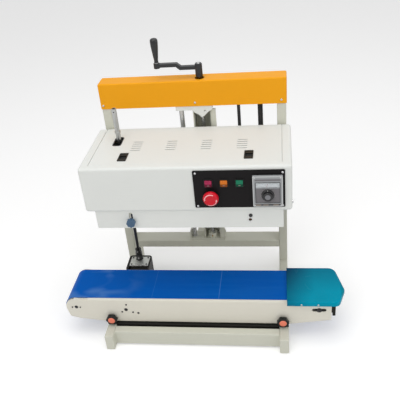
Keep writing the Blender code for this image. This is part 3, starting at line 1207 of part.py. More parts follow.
def conveyor_frame():
    """One folded sheet: two cheeks, the web that the belt slides on, and inward bottom flanges."""
    bm = bmesh.new()
    front = CONVEYOR_FRONT - CONVEYOR_MIDDLE
    outline = cheek_outline()
    cheek = bm.faces.new([bm.verts.new((x, front, z)) for x, z in outline])
    bm.normal_update()
    if cheek.normal.y > 0:
        bmesh.ops.reverse_faces(bm, faces=[cheek])

    def edges_where(test):
        return [e for e in bm.edges if len(e.link_faces) == 1 and all(test(v.co) for v in e.verts)]

    def fold_in(edges, depth):
        raised = bmesh.ops.extrude_edge_only(bm, edges=edges)["geom"]
        bmesh.ops.translate(bm, vec=(0, depth, 0),
                            verts=[g for g in raised if isinstance(g, bmesh.types.BMVert)])
        return edges

    tiny = 0.00001
    web = edges_where(lambda co: co.z > WEB_TOP - tiny and WEB_LEFT - tiny < co.x < WEB_RIGHT + tiny)
    low = CONVEYOR_BOTTOM + CHEEK_TOE_RISE + tiny
    folds = fold_in(web, -front) + fold_in(edges_where(lambda co: co.z < low), CONVEYOR_FLANGE)
    bmesh.ops.bevel(bm, geom=folds, offset=CONVEYOR_BEND, segments=2, affect="EDGES", profile=0.5)
    bmesh.ops.recalc_face_normals(bm, faces=bm.faces)
    if max(bm.faces, key=lambda f: f.calc_area()).normal.y > 0:
        bmesh.ops.reverse_faces(bm, faces=bm.faces)
    made = place(to_mesh(bm, "conveyor_frame"), "conveyor_frame", "frame_paint",
                 (0, CONVEYOR_MIDDLE, 0))
    mirror = made.modifiers.new("mirror", "MIRROR")
    mirror.use_axis = (False, True, False)
    mirror.merge_threshold = 0.00001
    thicken(made, CONVEYOR_SHEET)
    through = (CONVEYOR_FRONT - 0.002, CONVEYOR_BACK + 0.002)
    for name, x, z, radius in (("left_axle_hole", LEFT_ROLLER_X, END_ROLLER_Z, AXLE_RADIUS),
                               ("drive_axle_hole", SHAFT_X, DRIVE_ROLLER_Z, AXLE_RADIUS),
                               ("snub_axle_hole", SNUB_X, SNUB_Z, SNUB_AXLE_RADIUS)):
        cut(made, cylinder(name, radius + TURN, (x, through[0], z), (x, through[1], z), "Y"))
    half_slot = TENSION_SLOT / 2
    radius = AXLE_RADIUS + TURN
    cut(made, flat("tension_slot", rounded_box(RIGHT_ROLLER_X - half_slot, END_ROLLER_Z - radius,
                                               RIGHT_ROLLER_X + half_slot, END_ROLLER_Z + radius,
                                               radius - 0.0001, 4), "XZ", *through))
    for side in (-1, 1):
        x = side * STAR_KNOB_X
        cut(made, cylinder("stud_hole", STAR_STUD_RADIUS + TURN, (x, through[0], STAR_KNOB_Z),
                           (x, CONVEYOR_MIDDLE, STAR_KNOB_Z), "Y"),
            box("ear_notch", (x - EAR_WIDTH / 2 - 0.002, CONVEYOR_FRONT + CONVEYOR_SHEET + 0.0001,
                              CONVEYOR_BOTTOM - 0.004),
                (x + EAR_WIDTH / 2 + 0.002, CONVEYOR_BACK - CONVEYOR_SHEET - 0.0001,
                 CONVEYOR_BOTTOM + 0.010)))


def conveyor_rollers():
    inner_front = CONVEYOR_MIDDLE - BELT_WIDTH / 2
    inner_back = CONVEYOR_MIDDLE + BELT_WIDTH / 2
    rollers = (("left_end_roller", LEFT_ROLLER_X, END_ROLLER_Z, END_ROLLER_RADIUS, AXLE_RADIUS),
               ("right_end_roller", RIGHT_ROLLER_X, END_ROLLER_Z, END_ROLLER_RADIUS, AXLE_RADIUS),
               ("drive_roller", SHAFT_X, DRIVE_ROLLER_Z, DRIVE_ROLLER_RADIUS, AXLE_RADIUS),
               ("snub_roller", SNUB_X, SNUB_Z, SNUB_ROLLER_RADIUS, SNUB_AXLE_RADIUS))
    for name, x, z, radius, axle in rollers:
        far_end = CONVEYOR_BACK + (0.016 if name == "drive_roller" else 0.001)
        look = "black_rubber" if name == "drive_roller" else "aluminium"
        turned(name, [(0, far_end), (axle, far_end), (axle, inner_back), (radius, inner_back),
                      (radius, inner_front), (axle, inner_front), (axle, CONVEYOR_FRONT - 0.001),
                      (0, CONVEYOR_FRONT - 0.001)],
               (x, 0, z), "Y", look, 24 if radius > SNUB_ROLLER_RADIUS else 16)


def conveyor_belt():
    inside = SEAT
    outside = SEAT + BELT_THICKNESS
    loop = belt_line([(LEFT_ROLLER_X, END_ROLLER_Z, END_ROLLER_RADIUS + inside),
                      (SHAFT_X, DRIVE_ROLLER_Z, -(DRIVE_ROLLER_RADIUS + outside)),
                      (SNUB_X, SNUB_Z, SNUB_ROLLER_RADIUS + inside),
                      (RIGHT_ROLLER_X, END_ROLLER_Z, END_ROLLER_RADIUS + inside)])
    folded("conveyor_belt", loop, "XZ", CONVEYOR_MIDDLE - BELT_WIDTH / 2,
           CONVEYOR_MIDDLE + BELT_WIDTH / 2, BELT_THICKNESS, 0, "blue_belt", closed=True)


def base_plate():
    """The black plate on the feet that carries the conveyor, with four upturned ears."""
    top, lip = BASE_PLATE_TOP, BASE_PLATE_TOP - BASE_PLATE_LIP
    front = CONVEYOR_FRONT - BASE_PLATE_OVERHANG
    back = CONVEYOR_BACK + BASE_PLATE_OVERHANG
    side = COLUMN_X + TUBE_WIDTH / 2
    plate = folded("conveyor_base_plate", [(front, lip), (front, top), (back, top), (back, lip)][::-1],
                   "YZ", -side, side, BASE_PLATE_SHEET, 0.0045, "black_paint", segments=2)
    ears = []
    for x in (-STAR_KNOB_X, STAR_KNOB_X):
        for face in (CONVEYOR_FRONT + CONVEYOR_SHEET + SEAT,
                     CONVEYOR_BACK - CONVEYOR_SHEET - SEAT - EAR_SHEET):
            ears.append(box("ear", (x - EAR_WIDTH / 2, face, top - 0.001),
                            (x + EAR_WIDTH / 2, face + EAR_SHEET, STAR_KNOB_Z + 0.010)))
    join(plate, *ears)
    for end in (-1, 1):
        inner, outer = end * (COLUMN_INNER_X - SEAT), end * (side + 0.01)
        cut(plate,
            box("foot_clearance", (min(inner, outer), front - 0.005, lip - 0.005),
                (max(inner, outer), back + 0.005, FOOT_TOP + SEAT + 0.0002)),
            cylinder("ear_hole", STAR_STUD_RADIUS + TURN,
                     (end * STAR_KNOB_X, CONVEYOR_FRONT - 0.01, STAR_KNOB_Z),
                     (end * STAR_KNOB_X, CONVEYOR_MIDDLE, STAR_KNOB_Z), "Y"))


def tension_yoke():
    """The fork at the outlet end that holds the end roller's axle between the cheeks."""
    outer = CONVEYOR_SHEET + SEAT
    front, back = CONVEYOR_FRONT + outer, CONVEYOR_BACK - outer
    web = CHEEK_RIGHT + 0.003
    low, high = END_ROLLER_Z - 0.022, END_ROLLER_Z + 0.012
    yoke = box("tension_yoke", (web, front, low), (web + YOKE_THICKNESS, back, high),
               "black_paint", 0.001, 1)
    for face in (front, back - YOKE_ARM):
        join(yoke, box("yoke_arm", (RIGHT_ROLLER_X - 0.010, face, END_ROLLER_Z - 0.010),
                       (web + 0.002, face + YOKE_ARM, END_ROLLER_Z + 0.010)))
    cut(yoke, cylinder("yoke_hole", AXLE_RADIUS + TURN, (RIGHT_ROLLER_X, front - 0.01, END_ROLLER_Z),
                       (RIGHT_ROLLER_X, back + 0.01, END_ROLLER_Z), "Y"))


def star_knobs():
    back = CONVEYOR_FRONT - 0.003
    front = back - STAR_KNOB_DEPTH
    lobes = 6
    for name, side in (("left_star_knob", -1), ("right_star_knob", 1)):
        outline = []
        for step in range(4 * lobes):
            angle = 2 * math.pi * step / (4 * lobes)
            radius = STAR_KNOB_RADIUS - 0.0011 + 0.0011 * math.cos(lobes * angle)
            outline.append((radius * math.cos(angle), radius * math.sin(angle)))
        knob = flat(name, outline, "XZ", front, back - 0.002, "black_plastic")
        x = side * STAR_KNOB_X
        knob.location = (x, (front + back - 0.002) / 2, STAR_KNOB_Z)
        stud = STAR_STUD_RADIUS
        join(knob, turned(name + "_stud",
                          [(0, CONVEYOR_FRONT + 0.010), (stud, CONVEYOR_FRONT + 0.010),
                           (stud, CONVEYOR_FRONT - SEAT), (0.009, CONVEYOR_FRONT - SEAT),
                           (0.009, front - 0.0003), (0.0075, front - 0.002), (0, front - 0.002)],
                          (x, 0, STAR_KNOB_Z), "Y", sides=16))


# Outlet tray

def outlet_tray():
    """A sheet table over the end of the belt, with a lip on its three free sides."""
    front = CONVEYOR_FRONT - TRAY_FRONT_OVERHANG
    back = CONVEYOR_BACK + TRAY_BACK_OVERHANG
    nose = front + 0.055
    corners = [(TRAY_LEFT, front), (TRAY_RIGHT - 0.018, front), (TRAY_RIGHT, nose),
               (TRAY_RIGHT - 0.022, back), (TRAY_LEFT, back)]
    outline = [corners[0]]
    radii = (0.016, 0.012, 0.022)
    for index, radius in enumerate(radii, start=1):
        outline += round_corner(corners[index - 1], corners[index], corners[index + 1], radius)
    outline.append(corners[4])
    bm = bmesh.new()
    top = bm.faces.new([bm.verts.new((x, y, TRAY_TOP)) for x, y in outline])
    bm.normal_update()
    if top.normal.z < 0:
        bmesh.ops.reverse_faces(bm, faces=[top])
    rim = [e for e in bm.edges if max(v.co.x for v in e.verts) > TRAY_LEFT + 0.0001]
    raised = bmesh.ops.extrude_edge_only(bm, edges=rim)["geom"]
    bmesh.ops.translate(bm, vec=(0, 0, -TRAY_LIP),
                        verts=[g for g in raised if isinstance(g, bmesh.types.BMVert)])
    bmesh.ops.bevel(bm, geom=rim, offset=TRAY_BEND, segments=3, affect="EDGES", profile=0.5)
    bmesh.ops.recalc_face_normals(bm, faces=bm.faces)
    if max(bm.faces, key=lambda f: f.calc_area()).normal.z < 0:
        bmesh.ops.reverse_faces(bm, faces=bm.faces)
    tray = place(to_mesh(bm, "outlet_tray"), "outlet_tray", "teal_film")
    thicken(tray, TRAY_SHEET)
    tab_left = TRAY_LEFT + 0.025
    for near, far in ((front + TRAY_SHEET / 2, CONVEYOR_FRONT - SEAT),
                      (CONVEYOR_BACK + SEAT, back - TRAY_SHEET / 2)):
        join(tray, box("tray_tab", (tab_left, near, TRAY_TOP - TRAY_LIP + 0.001),
                       (tab_left + TRAY_TAB, far, TRAY_TOP - 0.006)))


# Cables

def cables():
    for name, x, radius in (("head_cable", CABLE_X, CABLE_RADIUS),
                            ("head_conduit", CONDUIT_X, CONDUIT_RADIUS)):
        top = TOP_BEAM_BOTTOM - SEAT
        y = HEAD_DEPTH + SEAT + CABLE_BEND + 0.005
        bend = arc((y - CABLE_BEND, CABLE_ENTRY + CABLE_BEND), CABLE_BEND, 0, -90, 4)
        route = [(x, y, top)]
        route += [(x, bend_y, bend_z) for bend_y, bend_z in bend]
        route.append((x, HEAD_DEPTH + SEAT, CABLE_ENTRY))
        curve = bpy.data.curves.new(name, "CURVE")
        curve.dimensions = "3D"
        curve.bevel_depth = radius
        curve.bevel_resolution = 1
        curve.use_fill_caps = True
        line = curve.splines.new("POLY")
        line.points.add(len(route) - 1)
        for point, spot in zip(line.points, route):
            point.co = (*spot, 1)
        made = bpy.data.objects.new(name, curve)
        curve.materials.append(finish("black_rubber"))
        made.parent = MACHINE
        PARTS.objects.link(made)


stand()
lift()
head_shell()
lid()
mechanism_plate()
front_guard()
band_drive()
controls()
guard_knob()
telescopic_drive()
conveyor_frame()
conveyor_rollers()
conveyor_belt()
base_plate()
tension_yoke()
star_knobs()
outlet_tray()
cables()
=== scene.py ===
"""The looks of a vertical band sealer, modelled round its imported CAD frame.

Pieces are drawn in millimetres in the machine's own frame: X = 0 is midway between the columns,
Y = 0 is the head's front face and Z = 0 is the floor. piece() carries them to the CAD's frame.
"""
import json
import math

import bmesh
import bpy
from bpy.props import FloatProperty, FloatVectorProperty, IntProperty, PointerProperty
from mathutils import Matrix, Vector

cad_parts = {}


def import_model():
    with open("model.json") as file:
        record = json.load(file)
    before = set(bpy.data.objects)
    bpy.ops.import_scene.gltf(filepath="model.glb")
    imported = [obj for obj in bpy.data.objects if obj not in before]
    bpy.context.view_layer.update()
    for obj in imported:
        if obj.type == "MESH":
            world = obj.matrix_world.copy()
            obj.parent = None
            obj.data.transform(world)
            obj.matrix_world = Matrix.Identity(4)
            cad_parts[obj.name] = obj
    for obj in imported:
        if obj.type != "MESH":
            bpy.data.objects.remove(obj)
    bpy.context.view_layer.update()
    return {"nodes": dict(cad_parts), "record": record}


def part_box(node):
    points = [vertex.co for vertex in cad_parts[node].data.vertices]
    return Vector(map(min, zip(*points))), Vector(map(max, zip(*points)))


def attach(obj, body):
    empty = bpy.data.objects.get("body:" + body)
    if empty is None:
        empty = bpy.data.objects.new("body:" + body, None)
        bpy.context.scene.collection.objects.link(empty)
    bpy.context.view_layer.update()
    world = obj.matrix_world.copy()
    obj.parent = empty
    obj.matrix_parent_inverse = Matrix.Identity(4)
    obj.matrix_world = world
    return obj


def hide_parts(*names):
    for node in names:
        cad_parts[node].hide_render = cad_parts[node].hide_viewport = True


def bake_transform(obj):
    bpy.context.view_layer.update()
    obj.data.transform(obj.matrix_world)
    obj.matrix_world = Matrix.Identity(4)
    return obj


bl_info = {
    "name": "Vertical Band Sealer",
    "version": (1, 0, 0),
    "blender": (4, 5, 0),
    "location": "3D View > Sidebar > Band Sealer",
    "description": "Finishes the packed frame of a vertical band sealer",
    "category": "Object",
}

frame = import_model()
# Places along X, in metres: where the belt's painted sheen is at its full and where it has faded
# out, and its two seams
BELT_SHEEN, BELT_SEAMS = (-0.27, -0.16), (-0.137, 0.050)
# The lid's louvres, in millimetres: the first one's place, and the steps along X and along Y
LOUVRE_FIRST, LOUVRE_STEP = (-139.75, 97.0), (93.5, 12.0)
# A band wheel's radius and its shaft's, in millimetres, and the teeth of the band drive's gears
WHEEL_RADIUS, WHEEL_SHAFT = 24.0, 5.0
DRIVE_TEETH, PINION_TEETH = 24, 12

UP, DOWN = (0, 0, 1), (0, 0, -1)
FRONT, BACK = (0, -1, 0), (0, 1, 0)
LEFT, RIGHT = (-1, 0, 0), (1, 0, 0)

BODY_OF = {name: body for body, names in frame["record"]["behaviour"]["bodies"].items()
           for name in names}
ORIGIN = Vector(((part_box("left_column")[0].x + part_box("right_column")[1].x) / 2,
                 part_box("head_shell")[0].y, 0))
TO_FRAME = Matrix.Translation(ORIGIN) @ Matrix.Scale(0.001, 4)
FROM_FRAME = TO_FRAME.inverted()


def linear(red, green, blue):
    """A colour as it is read from a screen, 0 to 255, in the shader's linear values."""
    levels = [level / 255 for level in (red, green, blue)]
    return tuple(x / 12.92 if x <= 0.04045 else ((x + 0.055) / 1.055) ** 2.4 for x in levels)


def extent(node):
    """The lowest and highest corner of a CAD node, in millimetres in the machine's frame."""
    low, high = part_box(node)
    return FROM_FRAME @ low, FROM_FRAME @ high


def middle(node):
    """The middle of a CAD node's box, in millimetres in the machine's frame."""
    low, high = extent(node)
    return (low + high) / 2


# Sizes and colours that a user may change

def colour_property(name, red, green, blue, description):
    return FloatVectorProperty(name=name, description=description, subtype="COLOR", size=3,
                               min=0.0, max=1.0, default=linear(red, green, blue))


def size_property(name, metres, description, high=0.1):
    return FloatProperty(name=name, description=description, default=metres, min=0.0, max=high,
                         unit="LENGTH", subtype="DISTANCE", precision=5)


class SealerStandLooks(bpy.types.PropertyGroup):
    tube_coat: colour_property("Tube coat", 208, 208, 194, "Powder coat of the stand's tubes")
    cover_coat: colour_property("Cover coat", 243, 166, 28, "Powder coat of the top cover")
    black_coat: colour_property("Black coat", 27, 26, 24, "Coat of the base plate and gearbox")
    tube_edge: size_property("Tube edge", 0.0004, "Rounding of the cut edges of tubes and sheet")
    cover_screw: size_property("Cover screw", 0.0062, "Width of the cover's screw heads")
    weld_bead: size_property("Weld bead", 0.0014, "Radius of the weld beads on the stand")
    thread_pitch: size_property("Thread pitch", 0.005, "Rise of the lead screw's thread in a turn")


class SealerHeadLooks(bpy.types.PropertyGroup):
    head_coat: colour_property("Head coat", 227, 229, 225, "Powder coat of the head and its lid")
    panel_film: colour_property("Panel", 28, 26, 27, "Colour of the control panel")
    stop_cap: colour_property("Stop cap", 205, 18, 38, "Colour of the emergency stop")
    stop_arrow: colour_property("Stop arrow", 238, 180, 182, "Colour of the stop's turning arrows")
    left_lens: colour_property("Left lens", 176, 34, 84, "Colour of the left square button")
    middle_lens: colour_property("Middle lens", 226, 122, 22, "Colour of the middle square button")
    right_lens: colour_property("Right lens", 0, 128, 92, "Colour of the right square button")
    clamp_knob: colour_property("Clamp knob", 60, 90, 118, "Colour of the guard's clamp knob")
    louvre_rise: size_property("Louvre rise", 0.0014, "How far the lid's louvres stand up", 0.003)
    panel_screw: size_property("Panel screw", 0.0058, "Width of the panel's screw heads")


class SealerDriveLooks(bpy.types.PropertyGroup):
    band_cloth: colour_property("Band", 150, 112, 70, "Colour of the coated glass cloth bands")
    wheel_rubber: colour_property("Wheel rubber", 168, 52, 34, "Colour of the band wheels' tyres")
    gear_nylon: colour_property("Gear nylon", 224, 222, 208, "Colour of the moulded gears")
    knurl_size: size_property("Knurl", 0.0012, "Pitch of the press wheels' knurling")


class SealerConveyorLooks(bpy.types.PropertyGroup):
    # The conveyor's frame has the stand's paint; this lighter copy of the tube coat is painted
    # light, for the stronger light on its cheeks.
    cheek_coat: colour_property("Cheek coat", 226, 222, 209, "Powder coat of the conveyor's frame")
    belt_skin: colour_property("Belt", 0, 90, 182, "Colour of the conveyor belt")
    tray_skin: colour_property("Tray", 0, 148, 176, "Colour of the outlet tray")
    knob_cap: colour_property("Knob cap", 240, 128, 100, "Colour of the star knobs' caps")
    belt_weave: size_property("Belt weave", 0.0011, "Thread pitch that prints through the belt")
    corrugation: size_property("Corrugation", 0.0032, "Pitch of the conduit's rings")


class SealerStageLooks(bpy.types.PropertyGroup):
    floor_tone: FloatProperty(name="Floor tone", description="Lightness of the floor",
                              default=0.86, min=0.0, max=1.0)
    sky_strength: FloatProperty(name="Sky", description="Strength of the light from all round",
                                default=0.50, min=0.0, max=2.0)
    key_power: FloatProperty(name="Key lamp", description="Power of the large lamp in front",
                             default=21.0, min=0.0, max=500.0, unit="POWER")
    fill_power: FloatProperty(name="Fill lamp", description="Power of the lamp on the right",
                              default=9.0, min=0.0, max=500.0, unit="POWER")
    top_power: FloatProperty(name="Top lamp", description="Power of the lamp overhead",
                             default=24.0, min=0.0, max=500.0, unit="POWER")
    lens: FloatProperty(name="Lens", description="Focal length on a 36 mm sensor",
                        default=53.037, min=10.0, max=300.0, unit="CAMERA")
    photo_pixels: IntProperty(name="Frame", description="Side of the square picture in pixels",
                              default=400, min=16, max=4096)


def looks(kind):
    """The sizes and colours of one group, from the scene."""
    return getattr(bpy.context.scene, "sealer_" + kind)


def mm(metres):
    return metres * 1000


# Shader nodes

def node(tree, kind, feeds=None, **settings):
    """Adds a node, sets it, and gives its inputs values or links."""
    made = tree.nodes.new("ShaderNode" + kind)
    for name, value in settings.items():
        setattr(made, name, value)
    for name, value in (feeds or {}).items():
        if isinstance(value, bpy.types.NodeSocket):
            tree.links.new(value, made.inputs[name])
        else:
            made.inputs[name].default_value = value
    return made


def sums(tree, operation, *values):
    return node(tree, "Math", dict(enumerate(values)), operation=operation).outputs[0]


def ranged(tree, value, low, high, to_low, to_high):
    return node(tree, "MapRange", {"Value": value, "From Min": low, "From Max": high,
                                   "To Min": to_low, "To Max": to_high}).outputs[0]


def times(tree, first, second):
    return sums(tree, "MULTIPLY", first, second)


def per(tree, size, count=1.0):
    """How often a size goes into a metre, or into another length."""
    return sums(tree, "DIVIDE", count, size)


def mixed(tree, mask, first, second):
    """One colour over another where the mask is 1."""
    return node(tree, "Mix", {0: mask, 6: first, 7: second}, data_type="RGBA").outputs[2]


def place_in(tree, stretch=(1, 1, 1), turn=(0, 0, 0)):
    """Object coordinates, turned and stretched."""
    where = node(tree, "TexCoord").outputs["Object"]
    return node(tree, "Mapping", {"Vector": where, "Scale": stretch, "Rotation": turn}).outputs[0]


def spot_in(tree):
    """Object coordinates as three values."""
    return node(tree, "SeparateXYZ", {"Vector": place_in(tree)}).outputs


def noise(tree, where, count, detail=2.0, distortion=0.0):
    return node(tree, "TexNoise", {"Vector": where, "Scale": count, "Detail": detail,
                                   "Distortion": distortion}).outputs[0]


def effect(name, inputs, outputs):
    """Starts a node group with named inputs and outputs; gives its tree, inputs and last node."""
    tree = bpy.data.node_groups.new(name, "ShaderNodeTree")
    for label, default in inputs.items():
        kind = "NodeSocketColor" if isinstance(default, tuple) else "NodeSocketFloat"
        socket = tree.interface.new_socket(name=label, in_out="INPUT", socket_type=kind)
        socket.default_value = default
    for label, kind in outputs.items():
        tree.interface.new_socket(name=label, in_out="OUTPUT", socket_type=kind)
    return tree, tree.nodes.new("NodeGroupInput").outputs, tree.nodes.new("NodeGroupOutput")


def use(tree, name, **feeds):
    """Places an effect in a material; its first output comes back."""
    return node(tree, "Group", feeds, node_tree=bpy.data.node_groups[name]).outputs[0]


COLOUR, VALUE = "NodeSocketColor", "NodeSocketFloat"
WHITE = (1.0, 1.0, 1.0, 1.0)


def tone_drift():
    """Colour that drifts a little lighter and darker, in patches of a size."""
    tree, given, result = effect("tone_drift", {"Colour": WHITE, "Spread": 0.04, "Size": 0.08},
                                 {"Colour": COLOUR})
    where = place_in(tree)
    broad = noise(tree, where, per(tree, given["Size"]), 3.0)
    fine = noise(tree, where, per(tree, given["Size"], 9.0), 2.0)
    both = sums(tree, "ADD", times(tree, broad, 0.7), times(tree, fine, 0.3))
    swing = times(tree, sums(tree, "SUBTRACT", both, 0.5), given["Spread"])
    level = sums(tree, "ADD", times(tree, swing, 4.0), 1.0)
    scaled = node(tree, "VectorMath", {0: given["Colour"], 3: level}, operation="SCALE")
    tree.links.new(scaled.outputs[0], result.inputs["Colour"])


def gloss_drift():
    """Roughness with faint hand smudges."""
    tree, given, result = effect("gloss_drift", {"Roughness": 0.4, "Spread": 0.06, "Size": 0.05},
                                 {"Roughness": VALUE})
    patches = noise(tree, place_in(tree), per(tree, given["Size"]), 4.0, 0.6)
    swing = times(tree, ranged(tree, patches, 0.3, 0.7, -1.0, 1.0), given["Spread"])
    tree.links.new(sums(tree, "ADD", given["Roughness"], swing), result.inputs["Roughness"])


def peel():
    """The orange peel of a sprayed or moulded skin."""
    tree, given, result = effect("peel", {"Size": 0.0012}, {"Height": VALUE})
    height = noise(tree, place_in(tree), per(tree, given["Size"]), 1.5)
    tree.links.new(height, result.inputs["Height"])


def scuffs():
    """A mask of thin scratches that lie in loose clouds."""
    tree, given, result = effect("scuffs", {"Amount": 0.3, "Size": 0.02}, {"Mask": VALUE})
    count = per(tree, given["Size"])
    clouds = ranged(tree, noise(tree, place_in(tree), times(tree, count, 0.25), 2.0),
                    0.52, 0.68, 0.0, 1.0)
    strokes = noise(tree, place_in(tree, (1.0, 14.0, 9.0), (0.2, 0.1, 0.5)), count, 2.0, 0.8)
    lines = ranged(tree, strokes, 0.60, 0.66, 0.0, 1.0)
    mask = times(tree, times(tree, lines, clouds), given["Amount"])
    tree.links.new(mask, result.inputs["Mask"])


def grain_lines():
    """Fine parallel lines, as a grinder, a lathe or drawing leaves them along an axis."""
    for name, stretch in (("grain_along_x", (0.04, 1, 1)), ("grain_along_y", (1, 0.04, 1)),
                          ("grain_along_z", (1, 1, 0.04))):
        tree, given, result = effect(name, {"Size": 0.0005}, {"Height": VALUE})
        lines = noise(tree, place_in(tree, stretch), per(tree, given["Size"]), 3.0)
        tree.links.new(lines, result.inputs["Height"])


def waves(tree, place, size):
    """Sine waves of a length along a place."""
    count = per(tree, size, 2 * math.pi)
    return sums(tree, "SINE", times(tree, place, count))


def weave():
    """Crossing threads that print through a coating, for faces that lie or stand."""
    tree, given, result = effect("weave", {"Size": 0.001}, {"Height": VALUE})
    where = spot_in(tree)
    threads = [waves(tree, sums(tree, "ADD", where[way], where[2]), given["Size"])
               for way in (0, 1)]
    tree.links.new(times(tree, *threads), result.inputs["Height"])


def knurl():
    """Crossing slanted ridges round an upright wheel."""
    tree, given, result = effect("knurl", {"Size": 0.0012}, {"Height": VALUE})
    where = spot_in(tree)
    flat_way = sums(tree, "ADD", where[0], where[1])
    ridges = [waves(tree, sums(tree, slant, flat_way, where[2]), given["Size"])
              for slant in ("ADD", "SUBTRACT")]
    tree.links.new(sums(tree, "MAXIMUM", *ridges), result.inputs["Height"])


EFFECTS = (tone_drift, gloss_drift, peel, scuffs, grain_lines, weave, knurl)


# Finishes

def opaque(colour, share=1.0):
    """A colour, darkened to a share of itself, with its alpha."""
    return (*(level * share for level in colour), 1.0)


def started(name, **constants):
    """A new material with its constants on the shader; gives the material and its tree."""
    made = bpy.data.materials.new(name)
    made.use_nodes = True
    shader = made.node_tree.nodes["Principled BSDF"]
    for label, value in constants.items():
        shader.inputs[label.replace("_", " ")].default_value = value
    return made, made.node_tree


def drift(tree, colour, spread, size):
    """A colour that changes a little from place to place."""
    return use(tree, "tone_drift", Colour=colour, Spread=spread, Size=size)


def smudges(tree, roughness, spread, size):
    """A roughness that changes a little from place to place."""
    return use(tree, "gloss_drift", Roughness=roughness, Spread=spread, Size=size)


def joined(made, tone, gloss, height=None, depth=0.0):
    """Links a colour, a roughness and a relief of a depth in metres; gives the material."""
    tree = made.node_tree
    taken = tree.nodes["Principled BSDF"].inputs
    tree.links.new(tone, taken["Base Color"])
    tree.links.new(gloss, taken["Roughness"])
    if height is not None:
        bump = node(tree, "Bump", {"Height": height, "Distance": depth, "Strength": 1.0})
        tree.links.new(bump.outputs[0], taken["Normal"])
    return made


def coated(name, colour, gloss=0.42, relief=0.00004, spread=0.02, grain=0.0016, scratches=0.10,
           shine=0.40):
    """Powder coat on sheet and tube: orange peel, faint drifts, smudges and thin scratches."""
    made, tree = started(name, Specular_IOR_Level=shine)
    marks = use(tree, "scuffs", Amount=scratches, Size=0.03)
    tone = mixed(tree, marks, drift(tree, opaque(colour), spread, 0.10), opaque(colour, 0.72))
    return joined(made, tone, smudges(tree, gloss, 0.05, 0.06), use(tree, "peel", Size=grain),
                  relief)


def metal(name, colour, gloss=0.32, grain="grain_along_z", size=0.0006, relief=0.00002):
    """Bare or plated metal with the lines that its making left."""
    made, tree = started(name, Metallic=1.0)
    marks = use(tree, "scuffs", Amount=0.35, Size=0.012)
    tone = mixed(tree, marks, drift(tree, opaque(colour), 0.05, 0.03), opaque(colour, 0.6))
    lines = use(tree, grain, Size=size)
    rough = sums(tree, "ADD", smudges(tree, gloss, 0.07, 0.02),
                 ranged(tree, lines, 0.3, 0.7, -0.05, 0.05))
    return joined(made, tone, rough, lines, relief)


def moulded(name, colour, gloss=0.38, grain=0.0009, relief=0.00003, spread=0.03, shine=0.5):
    """Moulded plastic or rubber with a fine skin."""
    made, tree = started(name, Specular_IOR_Level=shine)
    return joined(made, drift(tree, opaque(colour), spread, 0.03),
                  smudges(tree, gloss, 0.06, 0.02), use(tree, "peel", Size=grain), relief)


def lens(name, colour):
    """A clear coloured cap with the ribs of its diffuser, with a painted highlight towards its top
    and painted shade towards its bottom.
    """
    made, tree = started(name, Specular_IOR_Level=0.2)
    centre = middle("red_button").z / 1000
    # Painted light: the lens falls to painted shade at its bottom and keeps a pale painted
    # highlight at its top.
    painted_light_mask = ranged(tree, spot_in(tree)[2], centre - 0.003, centre + 0.001, 0.0, 1.0)
    pale = opaque([level * 0.95 + 0.01 for level in colour])
    shade = mixed(tree, painted_light_mask, opaque(colour, 0.30), pale)
    return joined(made, drift(tree, shade, 0.12, 0.010), smudges(tree, 0.28, 0.05, 0.01),
                  use(tree, "weave", Size=0.0016), 0.00008)


def off_line(tree, along, place, near, far, strength):
    """A mask with a strength near a place along an axis, in metres, that fades to 0."""
    distance = sums(tree, "ABSOLUTE", sums(tree, "SUBTRACT", along, place))
    return ranged(tree, distance, near, far, strength, 0.0)


def tray_skin(name, colour):
    """The tray's film, with painted reflection and shade: deep at the back and left, lighter to the
    front and right, and darker on its rounded right end.
    """
    made, tree = started(name, Specular_IOR_Level=0.05)
    where = spot_in(tree)
    start, end = (TO_FRAME @ corner for corner in extent("outlet_tray"))
    # Painted reflection: the tone deepens towards the back and left, where the column's dark
    # reflection lies, and rises to the film's own colour to the front and right.
    along = ranged(tree, where[0], start.x, start.x + 0.075, 0.0, 0.65)
    forward = ranged(tree, where[1], end.y, start.y + 0.02, -0.10, 0.45)
    tone = mixed(tree, sums(tree, "ADD", along, forward), opaque(linear(0, 66, 100)),
                 opaque(colour))
    # Painted shade on the tray's rounded right end.
    rim_shade = ranged(tree, where[0], end.x - 0.012, end.x - 0.008, 0.0, 0.45)
    shaded = mixed(tree, rim_shade, tone, opaque(linear(0, 104, 112)))
    return joined(made, drift(tree, shaded, 0.05, 0.05), smudges(tree, 0.22, 0.06, 0.03),
                  use(tree, "peel", Size=0.004), 0.00002)


